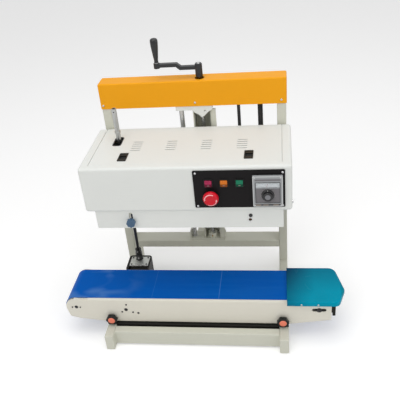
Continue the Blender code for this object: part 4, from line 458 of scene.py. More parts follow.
def belt_skin(name, colour):
    """The belt: a smooth cover with its cloth printing through, painted sheen in lighter streaks
    and in patches towards its left, and two seams.
    """
    made, tree = started(name, Specular_IOR_Level=0.03)
    along = spot_in(tree)[0]
    streaks = noise(tree, place_in(tree, (3.0, 26.0, 3.0)), 1.0, 4.0, 0.4)
    clouds = noise(tree, place_in(tree, (1.0, 1.6, 1.0)), 11.0, 1.5, 0.5)
    leftward = ranged(tree, along, *BELT_SHEEN, 1.0, 0.0)
    sheen_patch = times(tree, ranged(tree, clouds, 0.46, 0.66, 0.0, 0.50), leftward)
    lines = [off_line(tree, along, place, 0.0004, 0.0016, strength)
             for place, strength in zip(BELT_SEAMS, (0.25, 0.40))]
    tone = drift(tree, opaque(colour), 0.05, 0.16)
    # Lighter streaks along the belt and lighter patches towards its left are painted sheen, a
    # painted reflection of the lamps; the streaks also change the gloss. The two lighter lines are
    # the seams.
    for mask, over in ((ranged(tree, streaks, 0.52, 0.74, 0.0, 0.22), (40, 116, 190)),
                       (sheen_patch, (92, 138, 196)), (lines[0], (70, 130, 196)),
                       (lines[1], (96, 146, 206))):
        tone = mixed(tree, mask, tone, opaque(linear(*over)))
    threads = use(tree, "weave", Size=looks("conveyor").belt_weave)
    height = sums(tree, "SUBTRACT", threads, times(tree, lines[0], 3.0))
    return joined(made, tone, ranged(tree, streaks, 0.3, 0.75, 0.28, 0.42), height, 0.00002)


def band_cloth(name, colour):
    """Coated glass cloth, browned by the heating blocks."""
    made, tree = started(name)
    centre = middle("rear_band").z / 1000
    track = off_line(tree, spot_in(tree)[2], centre, 0.002, 0.005, 0.55)
    tone = mixed(tree, track, drift(tree, opaque(colour), 0.10, 0.02), opaque(linear(96, 62, 34)))
    return joined(made, tone, smudges(tree, 0.42, 0.08, 0.01), use(tree, "weave", Size=0.0007),
                  0.00006)


def knurled(name, colour):
    """Blackened steel with a knurled face."""
    made, tree = started(name, Metallic=1.0)
    ridges = use(tree, "knurl", Size=looks("drive").knurl_size)
    tone = mixed(tree, ranged(tree, ridges, 0.6, 1.0, 0.0, 0.5),
                 drift(tree, opaque(colour), 0.06, 0.01), opaque(linear(150, 150, 152)))
    return joined(made, tone, smudges(tree, 0.34, 0.05, 0.01), ridges, 0.0002)


def ribbed(name, colour):
    """Black rubber with moulded ribs, for the timing belt."""
    made, tree = started(name)
    return joined(made, drift(tree, opaque(colour), 0.06, 0.02), smudges(tree, 0.62, 0.05, 0.01),
                  use(tree, "weave", Size=0.002), 0.00015)


def clear(name, colour):
    """The meter's window, clean but for a faint haze."""
    made, tree = started(name, Transmission_Weight=1.0, IOR=1.46)
    return joined(made, drift(tree, opaque(colour), 0.01, 0.02), smudges(tree, 0.06, 0.03, 0.012))


# What makes each look, its colour or the group of settings that holds it, and its numbers
RECIPES = {
    "tube_coat": (coated, "stand", {}),
    "head_coat": (coated, "head", dict(spread=0.012)),
    # A lighter copy of the tube coat: painted light on the conveyor's cheeks.
    "cheek_coat": (coated, "conveyor", {}),
    "cover_coat": (coated, "stand", dict(gloss=0.40, shine=0.10)),
    "black_coat": (coated, "stand", dict(gloss=0.45, relief=0.00006, spread=0.08, scratches=0.5,
                                         shine=0.15)),
    "crank_coat": (coated, (38, 39, 41), dict(gloss=0.34, relief=0.00003, spread=0.06,
                                              grain=0.002)),
    "panel_film": (coated, "head", dict(gloss=0.36, relief=0.00002, spread=0.05, grain=0.0008,
                                        shine=0.08)),
    "bright_steel": (metal, (205, 205, 205), dict(gloss=0.22)),
    "ground_shaft": (metal, (200, 200, 202), dict(gloss=0.20, size=0.0004)),
    "zinc_plate": (metal, (186, 187, 184), dict(gloss=0.34, grain="grain_along_x")),
    "zinc_turned": (metal, (180, 181, 180), dict(gloss=0.30, grain="grain_along_y")),
    "black_steel": (metal, (58, 58, 60), dict(gloss=0.36)),
    "milled_aluminium": (metal, (208, 209, 211), dict(gloss=0.34, grain="grain_along_x")),
    "turned_aluminium": (metal, (206, 207, 210), dict(gloss=0.30, grain="grain_along_y")),
    "lid_casting": (metal, (190, 192, 188), dict(gloss=0.44, grain="grain_along_x", size=0.001,
                                                 relief=0.00006)),
    "brass": (metal, (200, 165, 92), dict(gloss=0.30)),
    "dial_cap": (metal, (120, 120, 124), dict(gloss=0.36, grain="grain_along_x", size=0.0004)),
    "press_wheel_steel": (knurled, (96, 96, 98), {}),
    "belt_skin": (belt_skin, "conveyor", {}),
    "tray_skin": (tray_skin, "conveyor", {}),
    "band_cloth": (band_cloth, "drive", {}),
    "timing_rubber": (ribbed, (30, 30, 31), {}),
    "meter_glass": (clear, (250, 252, 252), {}),
    "left_lens": (lens, "head", {}),
    "middle_lens": (lens, "head", {}),
    "right_lens": (lens, "head", {}),
    "black_plastic": (moulded, (30, 32, 31), dict(gloss=0.36, shine=0.2)),
    "gloss_black": (moulded, (22, 22, 24), dict(gloss=0.22, grain=0.002, relief=0.00002)),
    "black_rubber": (moulded, (26, 26, 27), dict(gloss=0.62, grain=0.0006, relief=0.00005,
                                                 spread=0.08)),
    "cable_skin": (moulded, (24, 24, 26), dict(gloss=0.48, grain=0.0006, spread=0.06)),
    "wheel_rubber": (moulded, "drive", dict(gloss=0.62, grain=0.0007, relief=0.00006,
                                            spread=0.08)),
    "gear_nylon": (moulded, "drive", dict(gloss=0.42, grain=0.001, relief=0.00002)),
    "controller_frame": (moulded, (150, 152, 154), dict(gloss=0.40)),
    "controller_rim": (moulded, (198, 200, 200), dict(gloss=0.34)),
    "controller_face": (moulded, (112, 109, 112), dict(gloss=0.42)),
    "meter_card": (moulded, (226, 228, 232), dict(gloss=0.30, grain=0.0006, relief=0.00001)),
    "pale_mark": (moulded, (226, 222, 214), dict(gloss=0.45)),
    "needle_red": (moulded, (190, 30, 30), dict(gloss=0.40)),
    "clamp_knob": (moulded, "head", dict(gloss=0.40, grain=0.0008, relief=0.00004)),
    "stop_cap": (moulded, "head", dict(gloss=0.26, grain=0.003, relief=0.00002, shine=0.25)),
    "strip_tan": (moulded, (150, 132, 112), dict(gloss=0.45)),
    "lens_mark": (moulded, (150, 136, 132), dict(gloss=0.45)),
    "stop_arrow": (moulded, "head", dict(gloss=0.40)),
    "stop_collar": (moulded, (34, 34, 34), dict(gloss=0.40)),
    "knob_cap": (moulded, "conveyor", dict(gloss=0.36, grain=0.001)),
    "red_wire": (moulded, (170, 32, 28), dict(gloss=0.45)),
    "white_wire": (moulded, (220, 218, 210), dict(gloss=0.45)),
}


def finish(name):
    """The material of that name, made when it is first asked for."""
    look = name + "_look"
    if look not in bpy.data.materials:
        make, source, settings = RECIPES[name]
        colour = getattr(looks(source), name) if isinstance(source, str) else linear(*source)
        make(look, colour, **settings)
    return bpy.data.materials[look]


# Shapes, in millimetres

def carried(at, way):
    """What carries a shape that is built up along Z to a point, facing a way."""
    return Matrix.Translation(at) @ Vector(way).to_track_quat("Z", "Y").to_matrix().to_4x4()


def of_kind(geom, kind=bmesh.types.BMVert):
    """The vertices, or another kind of element, among what an operator gives back."""
    return [g for g in geom if isinstance(g, kind)]


def hard_edges(bm, degrees=45):
    """The edges where two faces meet at more than an angle."""
    limit = math.radians(degrees)
    return [e for e in bm.edges if len(e.link_faces) == 2 and e.calc_face_angle(0.0) > limit]


def rounded(bm, edge, segments=2, degrees=45):
    """Rounds the hard edges of a closed shape."""
    if edge:
        bmesh.ops.bevel(bm, geom=hard_edges(bm, degrees), offset=edge, segments=segments,
                        affect="EDGES", profile=0.5, material=-1, clamp_overlap=True)
        bmesh.ops.dissolve_degenerate(bm, edges=bm.edges, dist=edge * 0.01)
    return bm


def turned(profile, at=(0, 0, 0), way=UP, sides=48, closed=False):
    """A profile of (radius, height) spun round an axis that starts at a point and goes one way."""
    bm = bmesh.new()
    points = [bm.verts.new((radius, 0, height)) for radius, height in profile]
    pairs = list(zip(points, points[1:])) + ([(points[-1], points[0])] if closed else [])
    line = [bm.edges.new(pair) for pair in pairs]
    bmesh.ops.spin(bm, geom=points + line, cent=(0, 0, 0), axis=UP, angle=2 * math.pi,
                   steps=sides, use_merge=True)
    bmesh.ops.remove_doubles(bm, verts=bm.verts, dist=0.0002)
    bmesh.ops.recalc_face_normals(bm, faces=bm.faces)
    bmesh.ops.transform(bm, matrix=carried(at, way), verts=bm.verts)
    return bm


def rod(radius, start, end, sides=32, edge=0.3):
    """A round bar between two points, with chamfered ends."""
    start, end = Vector(start), Vector(end)
    length = (end - start).length
    profile = [(0, 0), (radius - edge, 0), (radius, edge), (radius, length - edge),
               (radius - edge, length), (0, length)]
    return turned(profile, start, end - start, sides)


def over(at, height):
    """The point at a height above or below another."""
    return at.x, at.y, height


def before(at, depth):
    """The point in front of or behind another, at a depth."""
    return at.x, depth, at.z


def post(radius, at, low, high, sides=32, edge=0.3):
    """An upright round bar between two heights."""
    return rod(radius, over(at, low), over(at, high), sides, edge)


def pin(radius, at, near, far, sides=32, edge=0.3):
    """A round bar that runs from front to back."""
    return rod(radius, before(at, near), before(at, far), sides, edge)


def upright(profile, at, sides=48, closed=False):
    """A profile of (radius, height) spun round an upright axis."""
    return turned(profile, over(at, 0), UP, sides, closed)


def washer(inner, outer, thick, at, way, sides=36):
    """A flat ring that stands on a point."""
    soft = min(thick, outer - inner) * 0.2
    profile = [(inner, 0), (outer - soft, 0), (outer, soft), (outer, thick - soft),
               (outer - soft, thick), (inner, thick)]
    return turned(profile, at, way, sides, closed=True)


def block(low, high, edge=0.0, segments=2):
    """A block from corner to corner with its edges rounded."""
    size = Vector(high) - Vector(low)
    bm = bmesh.new()
    bmesh.ops.create_cube(bm, size=1)
    bmesh.ops.scale(bm, vec=size, verts=bm.verts)
    rounded(bm, edge, segments)
    bmesh.ops.translate(bm, vec=(Vector(low) + Vector(high)) / 2, verts=bm.verts)
    return bm


def laid(bm, outline, plane, depth):
    """Puts the corners of an outline in a plane, at a place across it."""
    spots = [dict(zip(plane, spot)) for spot in outline]
    return [bm.verts.new([spot.get(letter, depth) for letter in "XYZ"]) for spot in spots]


def thickened(bm, plane, depth):
    """Extrudes a flat shape across its plane."""
    lifted = bmesh.ops.extrude_face_region(bm, geom=bm.faces[:])["geom"]
    shift = [0.0 if letter in plane else depth for letter in "XYZ"]
    bmesh.ops.translate(bm, vec=shift, verts=of_kind(lifted))
    bmesh.ops.recalc_face_normals(bm, faces=bm.faces)
    return bm


def prism(outline, plane, start, end, edge=0.0, segments=2, degrees=45):
    """A flat outline in a plane, as thick as from start to end across it."""
    bm = bmesh.new()
    bm.faces.new(laid(bm, outline, plane, start))
    return rounded(thickened(bm, plane, end - start), edge, segments, degrees)


def arc(centre, radius, first, last, steps):
    """Points on an arc between two angles in degrees."""
    angles = [math.radians(first + (last - first) * step / steps) for step in range(steps + 1)]
    return [(centre[0] + radius * math.cos(a), centre[1] + radius * math.sin(a)) for a in angles]


def lobed(at, radius, swing, lobes, steps=120):
    """The outline of a knob's grip round a point, seen from the front."""
    outline = []
    for step in range(steps):
        angle = 2 * math.pi * step / steps
        reach = radius + swing * math.cos(lobes * angle)
        outline.append((at.x + reach * math.cos(angle), at.z + reach * math.sin(angle)))
    return outline


def round_box(left, low, right, high, radius, steps=5):
    """The outline of a rectangle with round corners."""
    return (arc((right - radius, low + radius), radius, -90, 0, steps)
            + arc((right - radius, high - radius), radius, 0, 90, steps)
            + arc((left + radius, high - radius), radius, 90, 180, steps)
            + arc((left + radius, low + radius), radius, 180, 270, steps))


def frame_bar(left, low, right, high, wall, radius, plane, start, end, edge=0.2):
    """A flat frame: a round-cornered outline with a smaller one taken out of it."""
    bm = bmesh.new()
    loops = []
    for inset in (0, wall):
        outline = round_box(left + inset, low + inset, right - inset, high - inset,
                            max(radius - inset, 0.3))
        spots = laid(bm, outline, plane, start)
        loops += [bm.edges.new(pair) for pair in zip(spots, spots[1:] + spots[:1])]
    bmesh.ops.bridge_loops(bm, edges=loops)
    return rounded(thickened(bm, plane, end - start), edge, 2, 60)


def tube(route, radii, sides=16):
    """A round cord swept along a route, with one radius or one for each point."""
    spots = [Vector(spot) for spot in route]
    if not hasattr(radii, "__len__"):
        radii = [radii] * len(spots)
    ways = []
    for index in range(len(spots)):
        earlier, later = spots[max(index - 1, 0)], spots[min(index + 1, len(spots) - 1)]
        ways.append((later - earlier).normalized())
    bm = bmesh.new()
    ring = bmesh.ops.create_circle(bm, cap_ends=True, segments=sides, radius=radii[0])["verts"]
    bmesh.ops.transform(bm, matrix=carried(spots[0], ways[0]), verts=ring)
    last = bm.faces[:]
    for index in range(1, len(spots)):
        lifted = bmesh.ops.extrude_face_region(bm, geom=last)["geom"]
        bmesh.ops.delete(bm, geom=last if index > 1 else [], context="FACES_ONLY")
        last = of_kind(lifted, bmesh.types.BMFace)
        turn = ways[index - 1].rotation_difference(ways[index]).to_matrix().to_4x4()
        grow = Matrix.Scale(radii[index] / radii[index - 1], 4)
        move = (Matrix.Translation(spots[index]) @ turn @ grow
                @ Matrix.Translation(-spots[index - 1]))
        bmesh.ops.transform(bm, matrix=move, verts=of_kind(lifted))
    bmesh.ops.recalc_face_normals(bm, faces=bm.faces)
    return bm


def helix(middle_at, radius, low, high, turns, wire, sides=8):
    """A coil spring standing on Z."""
    steps = int(turns * 16)
    route = [(middle_at[0] + radius * math.cos(2 * math.pi * turns * step / steps),
              middle_at[1] + radius * math.sin(2 * math.pi * turns * step / steps),
              low + (high - low) * step / steps) for step in range(steps + 1)]
    return tube(route, wire, sides)


def drawn(bm, edges, grow, drop):
    """Extrudes an edge loop, scales it about Z and drops it; gives the new loop."""
    lifted = bmesh.ops.extrude_edge_only(bm, edges=edges)["geom"]
    bmesh.ops.scale(bm, vec=(grow, grow, 1), verts=of_kind(lifted))
    bmesh.ops.translate(bm, vec=(0, 0, -drop), verts=of_kind(lifted))
    return of_kind(lifted, bmesh.types.BMEdge)


def recessed_head(at, way, size, rise, recess, crown=0.6):
    """A screw head with a recess of a given outline, standing on a surface and facing a way."""
    bm = bmesh.new()
    radius = size / 2
    ring = bmesh.ops.create_circle(bm, segments=24, radius=radius * crown)["verts"]
    rim = list({e for v in ring for e in v.link_edges})
    spots = [bm.verts.new((x, y, 0)) for x, y in recess]
    hole = [bm.edges.new(pair) for pair in zip(spots, spots[1:] + spots[:1])]
    bmesh.ops.bridge_loops(bm, edges=rim + hole)
    bmesh.ops.translate(bm, vec=(0, 0, rise), verts=bm.verts)
    outer = drawn(bm, rim, (0.5 + crown / 2) / crown, rise * 0.12)
    outer = drawn(bm, outer, 1 / (0.5 + crown / 2), rise * 0.30)
    outer = drawn(bm, outer, 1.0, rise * 0.58)
    floor = drawn(bm, hole, 0.8, rise * 0.6)
    bmesh.ops.edgeloop_fill(bm, edges=outer)
    bmesh.ops.edgeloop_fill(bm, edges=floor)
    bmesh.ops.recalc_face_normals(bm, faces=bm.faces)
    bmesh.ops.transform(bm, matrix=carried(at, way), verts=bm.verts)
    return bm


def pan_screw(at, way, size=6.0):
    """A pan head with a cross recess."""
    arm, reach = size * 0.07, size * 0.24
    corner = ((reach, -arm), (reach, arm), (arm, arm))
    recess = []
    for c, s in ((1, 0), (0, 1), (-1, 0), (0, -1)):
        recess += [(x * c - y * s, x * s + y * c) for x, y in corner]
    return recessed_head(at, way, size, size * 0.36, recess)


def socket_screw(at, way, size=6.0, rise=None):
    """A cap head with a hexagon socket."""
    recess = arc((0, 0), size * 0.29, 0, 300, 5)
    return recessed_head(at, way, size, rise or size * 0.5, recess, 0.88)


def hex_head(at, way, across=8.0, rise=4.0):
    """A hexagon head or nut with its chamfer."""
    radius = across / math.sqrt(3)
    profile = [(0, rise), (radius * 0.86, rise), (radius, rise * 0.84), (radius, 0), (0, 0)]
    return turned(profile, at, way, 6)


def fixed(make, look, spots, way, *sizes):
    """The same screw, bolt or nut at several spots, as parts of a piece."""
    return [(make(spot, way, *sizes), look) for spot in spots]


def gear(teeth, pitch_radius, phase, low, high, at):
    """A spur gear with a tooth centred on the phase angle."""
    module = 2 * pitch_radius / teeth
    half = 0.80 * math.pi * module / 4 / pitch_radius
    flank = ((-1.15, -1.35), (-0.1, -1.02), (0.6, -0.68), (0.85, -0.45), (0.85, 0.45), (0.6, 0.68),
             (-0.1, 1.02), (-1.15, 1.35))
    outline = []
    for tooth in range(teeth):
        centre = math.radians(phase) + tooth * 2 * math.pi / teeth
        for rise, spread in flank:
            radius, angle = pitch_radius + rise * module, centre + spread * half
            outline.append((at[0] + radius * math.cos(angle), at[1] + radius * math.sin(angle)))
    return prism(outline, "XY", low, high, 0.25, 1, 70)


# Pieces

def settle(mesh, body, stands_for=(), crease=50):
    """Makes a finished mesh, in the CAD's frame, an object that rides on its body."""
    mesh.shade_smooth()
    mesh.set_sharp_from_angle(angle=math.radians(crease))
    made = bpy.data.objects.new(mesh.name, mesh)
    bpy.context.scene.collection.objects.link(made)
    even = made.modifiers.new("flat faces", "WEIGHTED_NORMAL")
    even.keep_sharp = True
    even.weight = 50
    if body:
        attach(made, body)
    if stands_for:
        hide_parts(*stands_for)
    return made


def piece(name, body, parts, stands_for=(), crease=50):
    """One object made of parts given as (shape, finish)."""
    bm = bmesh.new()
    used = []
    for part, look in parts:
        if look not in used:
            used.append(look)
        for face in part.faces:
            face.material_index = used.index(look)
        draft = bpy.data.meshes.new("draft")
        part.to_mesh(draft)
        part.free()
        bm.from_mesh(draft)
        bpy.data.meshes.remove(draft)
    bmesh.ops.transform(bm, matrix=TO_FRAME, verts=bm.verts)
    mesh = bpy.data.meshes.new(name)
    bm.to_mesh(mesh)
    bm.free()
    for look in used:
        mesh.materials.append(finish(look))
    return settle(mesh, body, stands_for, crease)


def whole(node_name):
    """A CAD solid as a shape in millimetres, with its flat faces made whole again."""
    bm = bmesh.new()
    bm.from_mesh(frame["nodes"][node_name].data)
    bmesh.ops.transform(bm, matrix=FROM_FRAME, verts=bm.verts)
    bmesh.ops.remove_doubles(bm, verts=bm.verts, dist=0.002)
    bmesh.ops.dissolve_limit(bm, angle_limit=math.radians(0.5), verts=bm.verts, edges=bm.edges)
    return bm


def remade(node_name, ending, parts, crease=50):
    """One object made of parts that stands for a CAD solid and rides as it does."""
    return piece(node_name + ending, BODY_OF[node_name], parts, (node_name,),
                 crease)


def dressed(node_name, look, edge=0.35, extras=(), crease=50):
    """A finished copy of a CAD solid, with its hard edges rounded, that stands for it."""
    parts = [(rounded(whole(node_name), edge), look), *extras]
    return remade(node_name, "_finished", parts, crease)


# Stand

def weld(start, end, radius):
    """A bead of small overlapping beads along a seam."""
    start, end = Vector(start), Vector(end)
    count = max(4, int((end - start).length / 1.1))
    route = [start + (end - start) * step / count for step in range(count + 1)]
    radii = [radius * (1.0 if step % 2 else 0.86) for step in range(count + 1)]
    radii[0] = radii[-1] = radius * 0.4
    return tube(route, radii, 10)


class SEALER_OT_stand(bpy.types.Operator):
    """Finish the feet, columns and beams, with their welds and end plugs"""

    bl_idname = "sealer.stand"
    bl_label = "Stand"

    def execute(self, context):
        values = looks("stand")
        edge, bead = mm(values.tube_edge), mm(values.weld_bead)
        for name in ("left_foot", "right_foot", "left_column", "right_column", "base_beam",
                     "rear_crossbeam", "top_crossbeam"):
            dressed(name, "tube_coat", edge)
        seams, plugs = [], []
        base_low, base_high = extent("base_beam")
        rear_low, rear_high = extent("rear_crossbeam")
        wall = 2.2
        for side in ("left", "right"):
            low, high = extent(side + "_foot")
            column_low, column_high = extent(side + "_column")
            inner, top = high.x if side == "left" else low.x, high.z + 0.2
            for y in (column_low.y, column_high.y):
                seams.append(weld((low.x + 2.5, y, top), (high.x - 2.5, y, top), bead))
            for y in (base_low.y, base_high.y):
                seams.append(weld((inner, y, base_low.z + 3), (inner, y, base_high.z - 3), bead))
            for z in (rear_low.z, rear_high.z):
                seams.append(weld((inner, rear_low.y + 3, z), (inner, rear_high.y - 3, z), bead))
            outline = round_box(low.x + wall, low.z + wall, high.x - wall, high.z - wall, 2.0)
            plugs.append(prism(outline, "XZ", high.y - 12, high.y - 0.4, 0.8, 3))
            plugs += [block((low.x + 6, high.y - 0.6, z - 0.5), (high.x - 6, high.y - 0.1, z + 0.5))
                      for z in (15, 25, 35)]
        piece("stand_weld_beads", "frame", [(seam, "tube_coat") for seam in seams])
        piece("foot_end_plugs", "frame", [(p, "black_plastic") for p in plugs])
        return {"FINISHED"}


class SEALER_OT_cover(bpy.types.Operator):
    """Finish the orange cover over the top beam, with its screws"""

    bl_idname = "sealer.cover"
    bl_label = "Top cover"

    def execute(self, context):
        low, high = extent("top_cover")
        dressed("top_cover", "cover_coat", mm(looks("stand").tube_edge))
        size, z = mm(looks("stand").cover_screw), low.z + 11.0
        screws = []
        for x in (low.x + 8.5, middle("lead_screw").x - 15.0, high.x - 14.5):
            screws += [(pan_screw((x, low.y, z), FRONT, size), "bright_steel"),
                       (pan_screw((x, high.y, z), BACK, size), "bright_steel")]
        piece("cover_screws", "frame", screws)
        return {"FINISHED"}


# Lift

def thread(radius, root, low, high, pitch, at):
    """A trapezoid thread from low to high round an upright axis."""
    steps = 28
    turns = int((high - low) / pitch)
    bm = bmesh.new()
    profile = [(root, 0), (root, pitch * 0.32), (radius, pitch * 0.46), (radius, pitch * 0.86),
               (root, pitch)]
    points = [bm.verts.new((r, 0, z)) for r, z in profile]
    line = [bm.edges.new(pair) for pair in zip(points, points[1:])]
    bmesh.ops.spin(bm, geom=points + line, cent=(0, 0, 0), axis=UP, dvec=(0, 0, pitch / steps),
                   angle=2 * math.pi * turns, steps=steps * turns)
    bmesh.ops.remove_doubles(bm, verts=bm.verts, dist=0.01)
    bmesh.ops.holes_fill(bm, edges=[e for e in bm.edges if e.is_boundary])
    bmesh.ops.recalc_face_normals(bm, faces=bm.faces)
    bmesh.ops.translate(bm, vec=(at[0], at[1], low), verts=bm.verts)
    return bm


class SEALER_OT_lift(bpy.types.Operator):
    """Finish the mast, its bearings, the guide rod, the threaded screw and the carriage"""

    bl_idname = "sealer.lift"
    bl_label = "Lift"

    def execute(self, context):
        screw, guide = middle("lead_screw"), middle("guide_rod")
        dressed("mast_channel", "tube_coat", 0.4)
        self.upper_bearing(screw, guide)
        self.lower_bearing(screw, guide)
        self.carriage(screw, guide)
        low, high = extent("guide_rod")
        remade("guide_rod", "_ground",
               [(post((high.x - low.x) / 2, guide, low.z, high.z, 48, 0.6), "ground_shaft")])
        self.lead_screw(screw)
        return {"FINISHED"}

    def upper_bearing(self, screw, guide):
        low, high = extent("top_bearing_plate")[1].z - 30, extent("mast_channel")[1].z
        bolts = [(washer(7.2, 10.5, 1.2, over(guide, high - 1.0), DOWN), "zinc_plate"),
                 (washer(6.4, 11, 1.4, over(screw, high - 0.2), DOWN), "brass")]
        bolts += fixed(socket_screw, "black_steel",
                       [(screw.x + side, screw.y + 14, low) for side in (-17, 17)], UP, 6)
        dressed("top_bearing_plate", "head_coat", 0.5)
        piece("upper_bearing_bolts", "frame", bolts)

    def lower_bearing(self, screw, guide):
        low, high = extent("lower_bearing_block")
        top = extent("rear_crossbeam")[1].z + 6.3
        spots = ((low.x + 9, high.y - 7), (high.x - 7, low.y + 15), (screw.x - 16, high.y - 10),
                 (screw.x + 16, high.y - 10))
        nipple = turned([(0, 7), (0.8, 7), (1.3, 6), (1.0, 4.6), (1.6, 3.6), (1.6, 0), (0, 0)],
                        (screw.x, screw.y - 13.5, top + 8), FRONT, 16)
        bolts = [(washer(7.2, 8.7, 1.4, over(guide, top), UP), "zinc_plate"),
                 *fixed(hex_head, "zinc_plate", [(x, y, top) for x, y in spots], UP, 8, 3.6),
                 (nipple, "brass")]
        dressed("lower_bearing_block", "tube_coat", 0.5)
        piece("lower_bearing_bolts", "frame", bolts)

    def carriage(self, screw, guide):
        low, high = extent("lift_carriage")
        plate_back, z = low.y + 3.2, low.z
        bolts = []
        for x in (low.x + 7, high.x - 7):
            for bolt in (z + 8, high.z - 8):
                bolts += [(washer(3.2, 5.5, 0.9, (x, plate_back, bolt), BACK), "zinc_plate"),
                          (hex_head((x, plate_back + 0.9, bolt), BACK, 8, 3.6), "zinc_plate")]
        for inner, outer, thick, at, reach in ((6.6, 11.5, 2.0, screw, 18),
                                               (7.1, 10.5, 1.6, guide, 25)):
            for side, way in ((-1, DOWN), (1, UP)):
                spot = over(at, z + 40 + side * reach)
                bolts.append((washer(inner, outer, thick, spot, way), "brass"))
        bolts += fixed(socket_screw, "black_steel",
                       [(screw.x, screw.y + 13, z + rise) for rise in (30, 50)], BACK, 5)
        dressed("lift_carriage", "tube_coat", 0.6)
        piece("carriage_bolts_and_bushes", "head", bolts)

    def lead_screw(self, screw):
        low, high = extent("lead_screw")
        shelf = extent("top_bearing_plate")[1].z - 30.0
        turns = thread(6.0, 4.6, low.z + 16.5, extent("mast_channel")[1].z - 0.9,
                       mm(looks("stand").thread_pitch), screw)
        parts = [(post(5.0, screw, low.z, high.z, 40, 0.6), "ground_shaft"),
                 (turns, "zinc_turned"),
                 (post(10.0, screw, shelf + 0.4, shelf + 9, 40, 0.6), "zinc_turned"),
                 (socket_screw((screw.x, screw.y - 9.6, shelf + 4.7), FRONT, 3.6, 1.2),
                  "black_steel")]
        remade("lead_screw", "_threaded", parts)


class SEALER_OT_crank(bpy.types.Operator):
    """Finish the crank arm and its turning handle"""

    bl_idname = "sealer.crank"
    bl_label = "Crank"

    def execute(self, context):
        screw = middle("lead_screw")
        arm_low, arm_high = extent("crank_arm")
        cap = turned([(0, 0.5), (3.6, 0.5), (4.3, 0), (0, 0)], over(screw, arm_low.z + 37),
                     UP, 32)
        extras = [(socket_screw((screw.x, screw.y - 9.7, arm_low.z + 9), FRONT, 5, 1.0),
                   "black_steel"), (cap, "bright_steel")]
        dressed("crank_arm", "crank_coat", 0.8, extras)
        low, high = extent("crank_handle")
        at, foot, tip = middle("crank_handle"), arm_high.z + 0.4, high.z
        profile = [(r, tip - drop) for r, drop in (
            (0, 0), (3.4, 0), (6.0, 0.5), (8.2, 1.6), (9.7, 3.4), (10.3, 6.0),
            ((high.x - low.x) / 2, 9.5), (10.4, 14), (9.9, 22), (8.9, 32), (7.8, 42), (6.6, 52),
            (5.7, 58), (5.5, 61), (5.9, 63.5))]
        profile += [(5.9, foot + 1.4), (5.6, foot + 1.0), (0, foot + 1.0)]
        parts = [(upright(profile, at, 56), "gloss_black"),
                 (washer(3.1, 6.4, 1.0, over(at, foot), UP), "bright_steel"),
                 (post(2.9, at, low.z, foot + 3, 24), "bright_steel"),
                 (hex_head(over(at, low.z + 1.6), DOWN, 5.2, 1.5), "zinc_plate")]
        remade("crank_handle", "_grip", parts)
        return {"FINISHED"}


# Head

def louvre(left, right, low, high, top, rise):
    """A pressed hood over a slot, open to the front."""
    bm = bmesh.new()
    radius = (high - low) * 0.9
    steps, taper = 6, 2.4
    start = high + radius * 0.4
    edge = bm.edges.new([bm.verts.new((x, start, top))
                         for x in (left + taper / 2, right - taper / 2)])
    widths = [right - left - taper + taper * min(1, step / steps * 2) for step in range(steps + 1)]
    heights = [rise * math.sin(step / steps * math.pi / 2) for step in range(steps + 1)]
    centre = Matrix.Translation(((left + right) / 2, 0, 0))
    for step in range(steps):
        lifted = bmesh.ops.extrude_edge_only(bm, edges=[edge])["geom"]
        edge = of_kind(lifted, bmesh.types.BMEdge)[0]
        bmesh.ops.translate(bm, vec=(0, (low - start) / steps, heights[step + 1] - heights[step]),
                            verts=of_kind(lifted))
        grow = Matrix.Scale(widths[step + 1] / widths[step], 4, RIGHT)
        bmesh.ops.transform(bm, matrix=centre @ grow @ centre.inverted(), verts=of_kind(lifted))
    bm.normal_update()
    if sum(face.normal.z for face in bm.faces) < 0:
        bmesh.ops.reverse_faces(bm, faces=bm.faces)
        bm.normal_update()
    bmesh.ops.solidify(bm, geom=bm.faces[:], thickness=0.35)
    bmesh.ops.recalc_face_normals(bm, faces=bm.faces)
    return bm


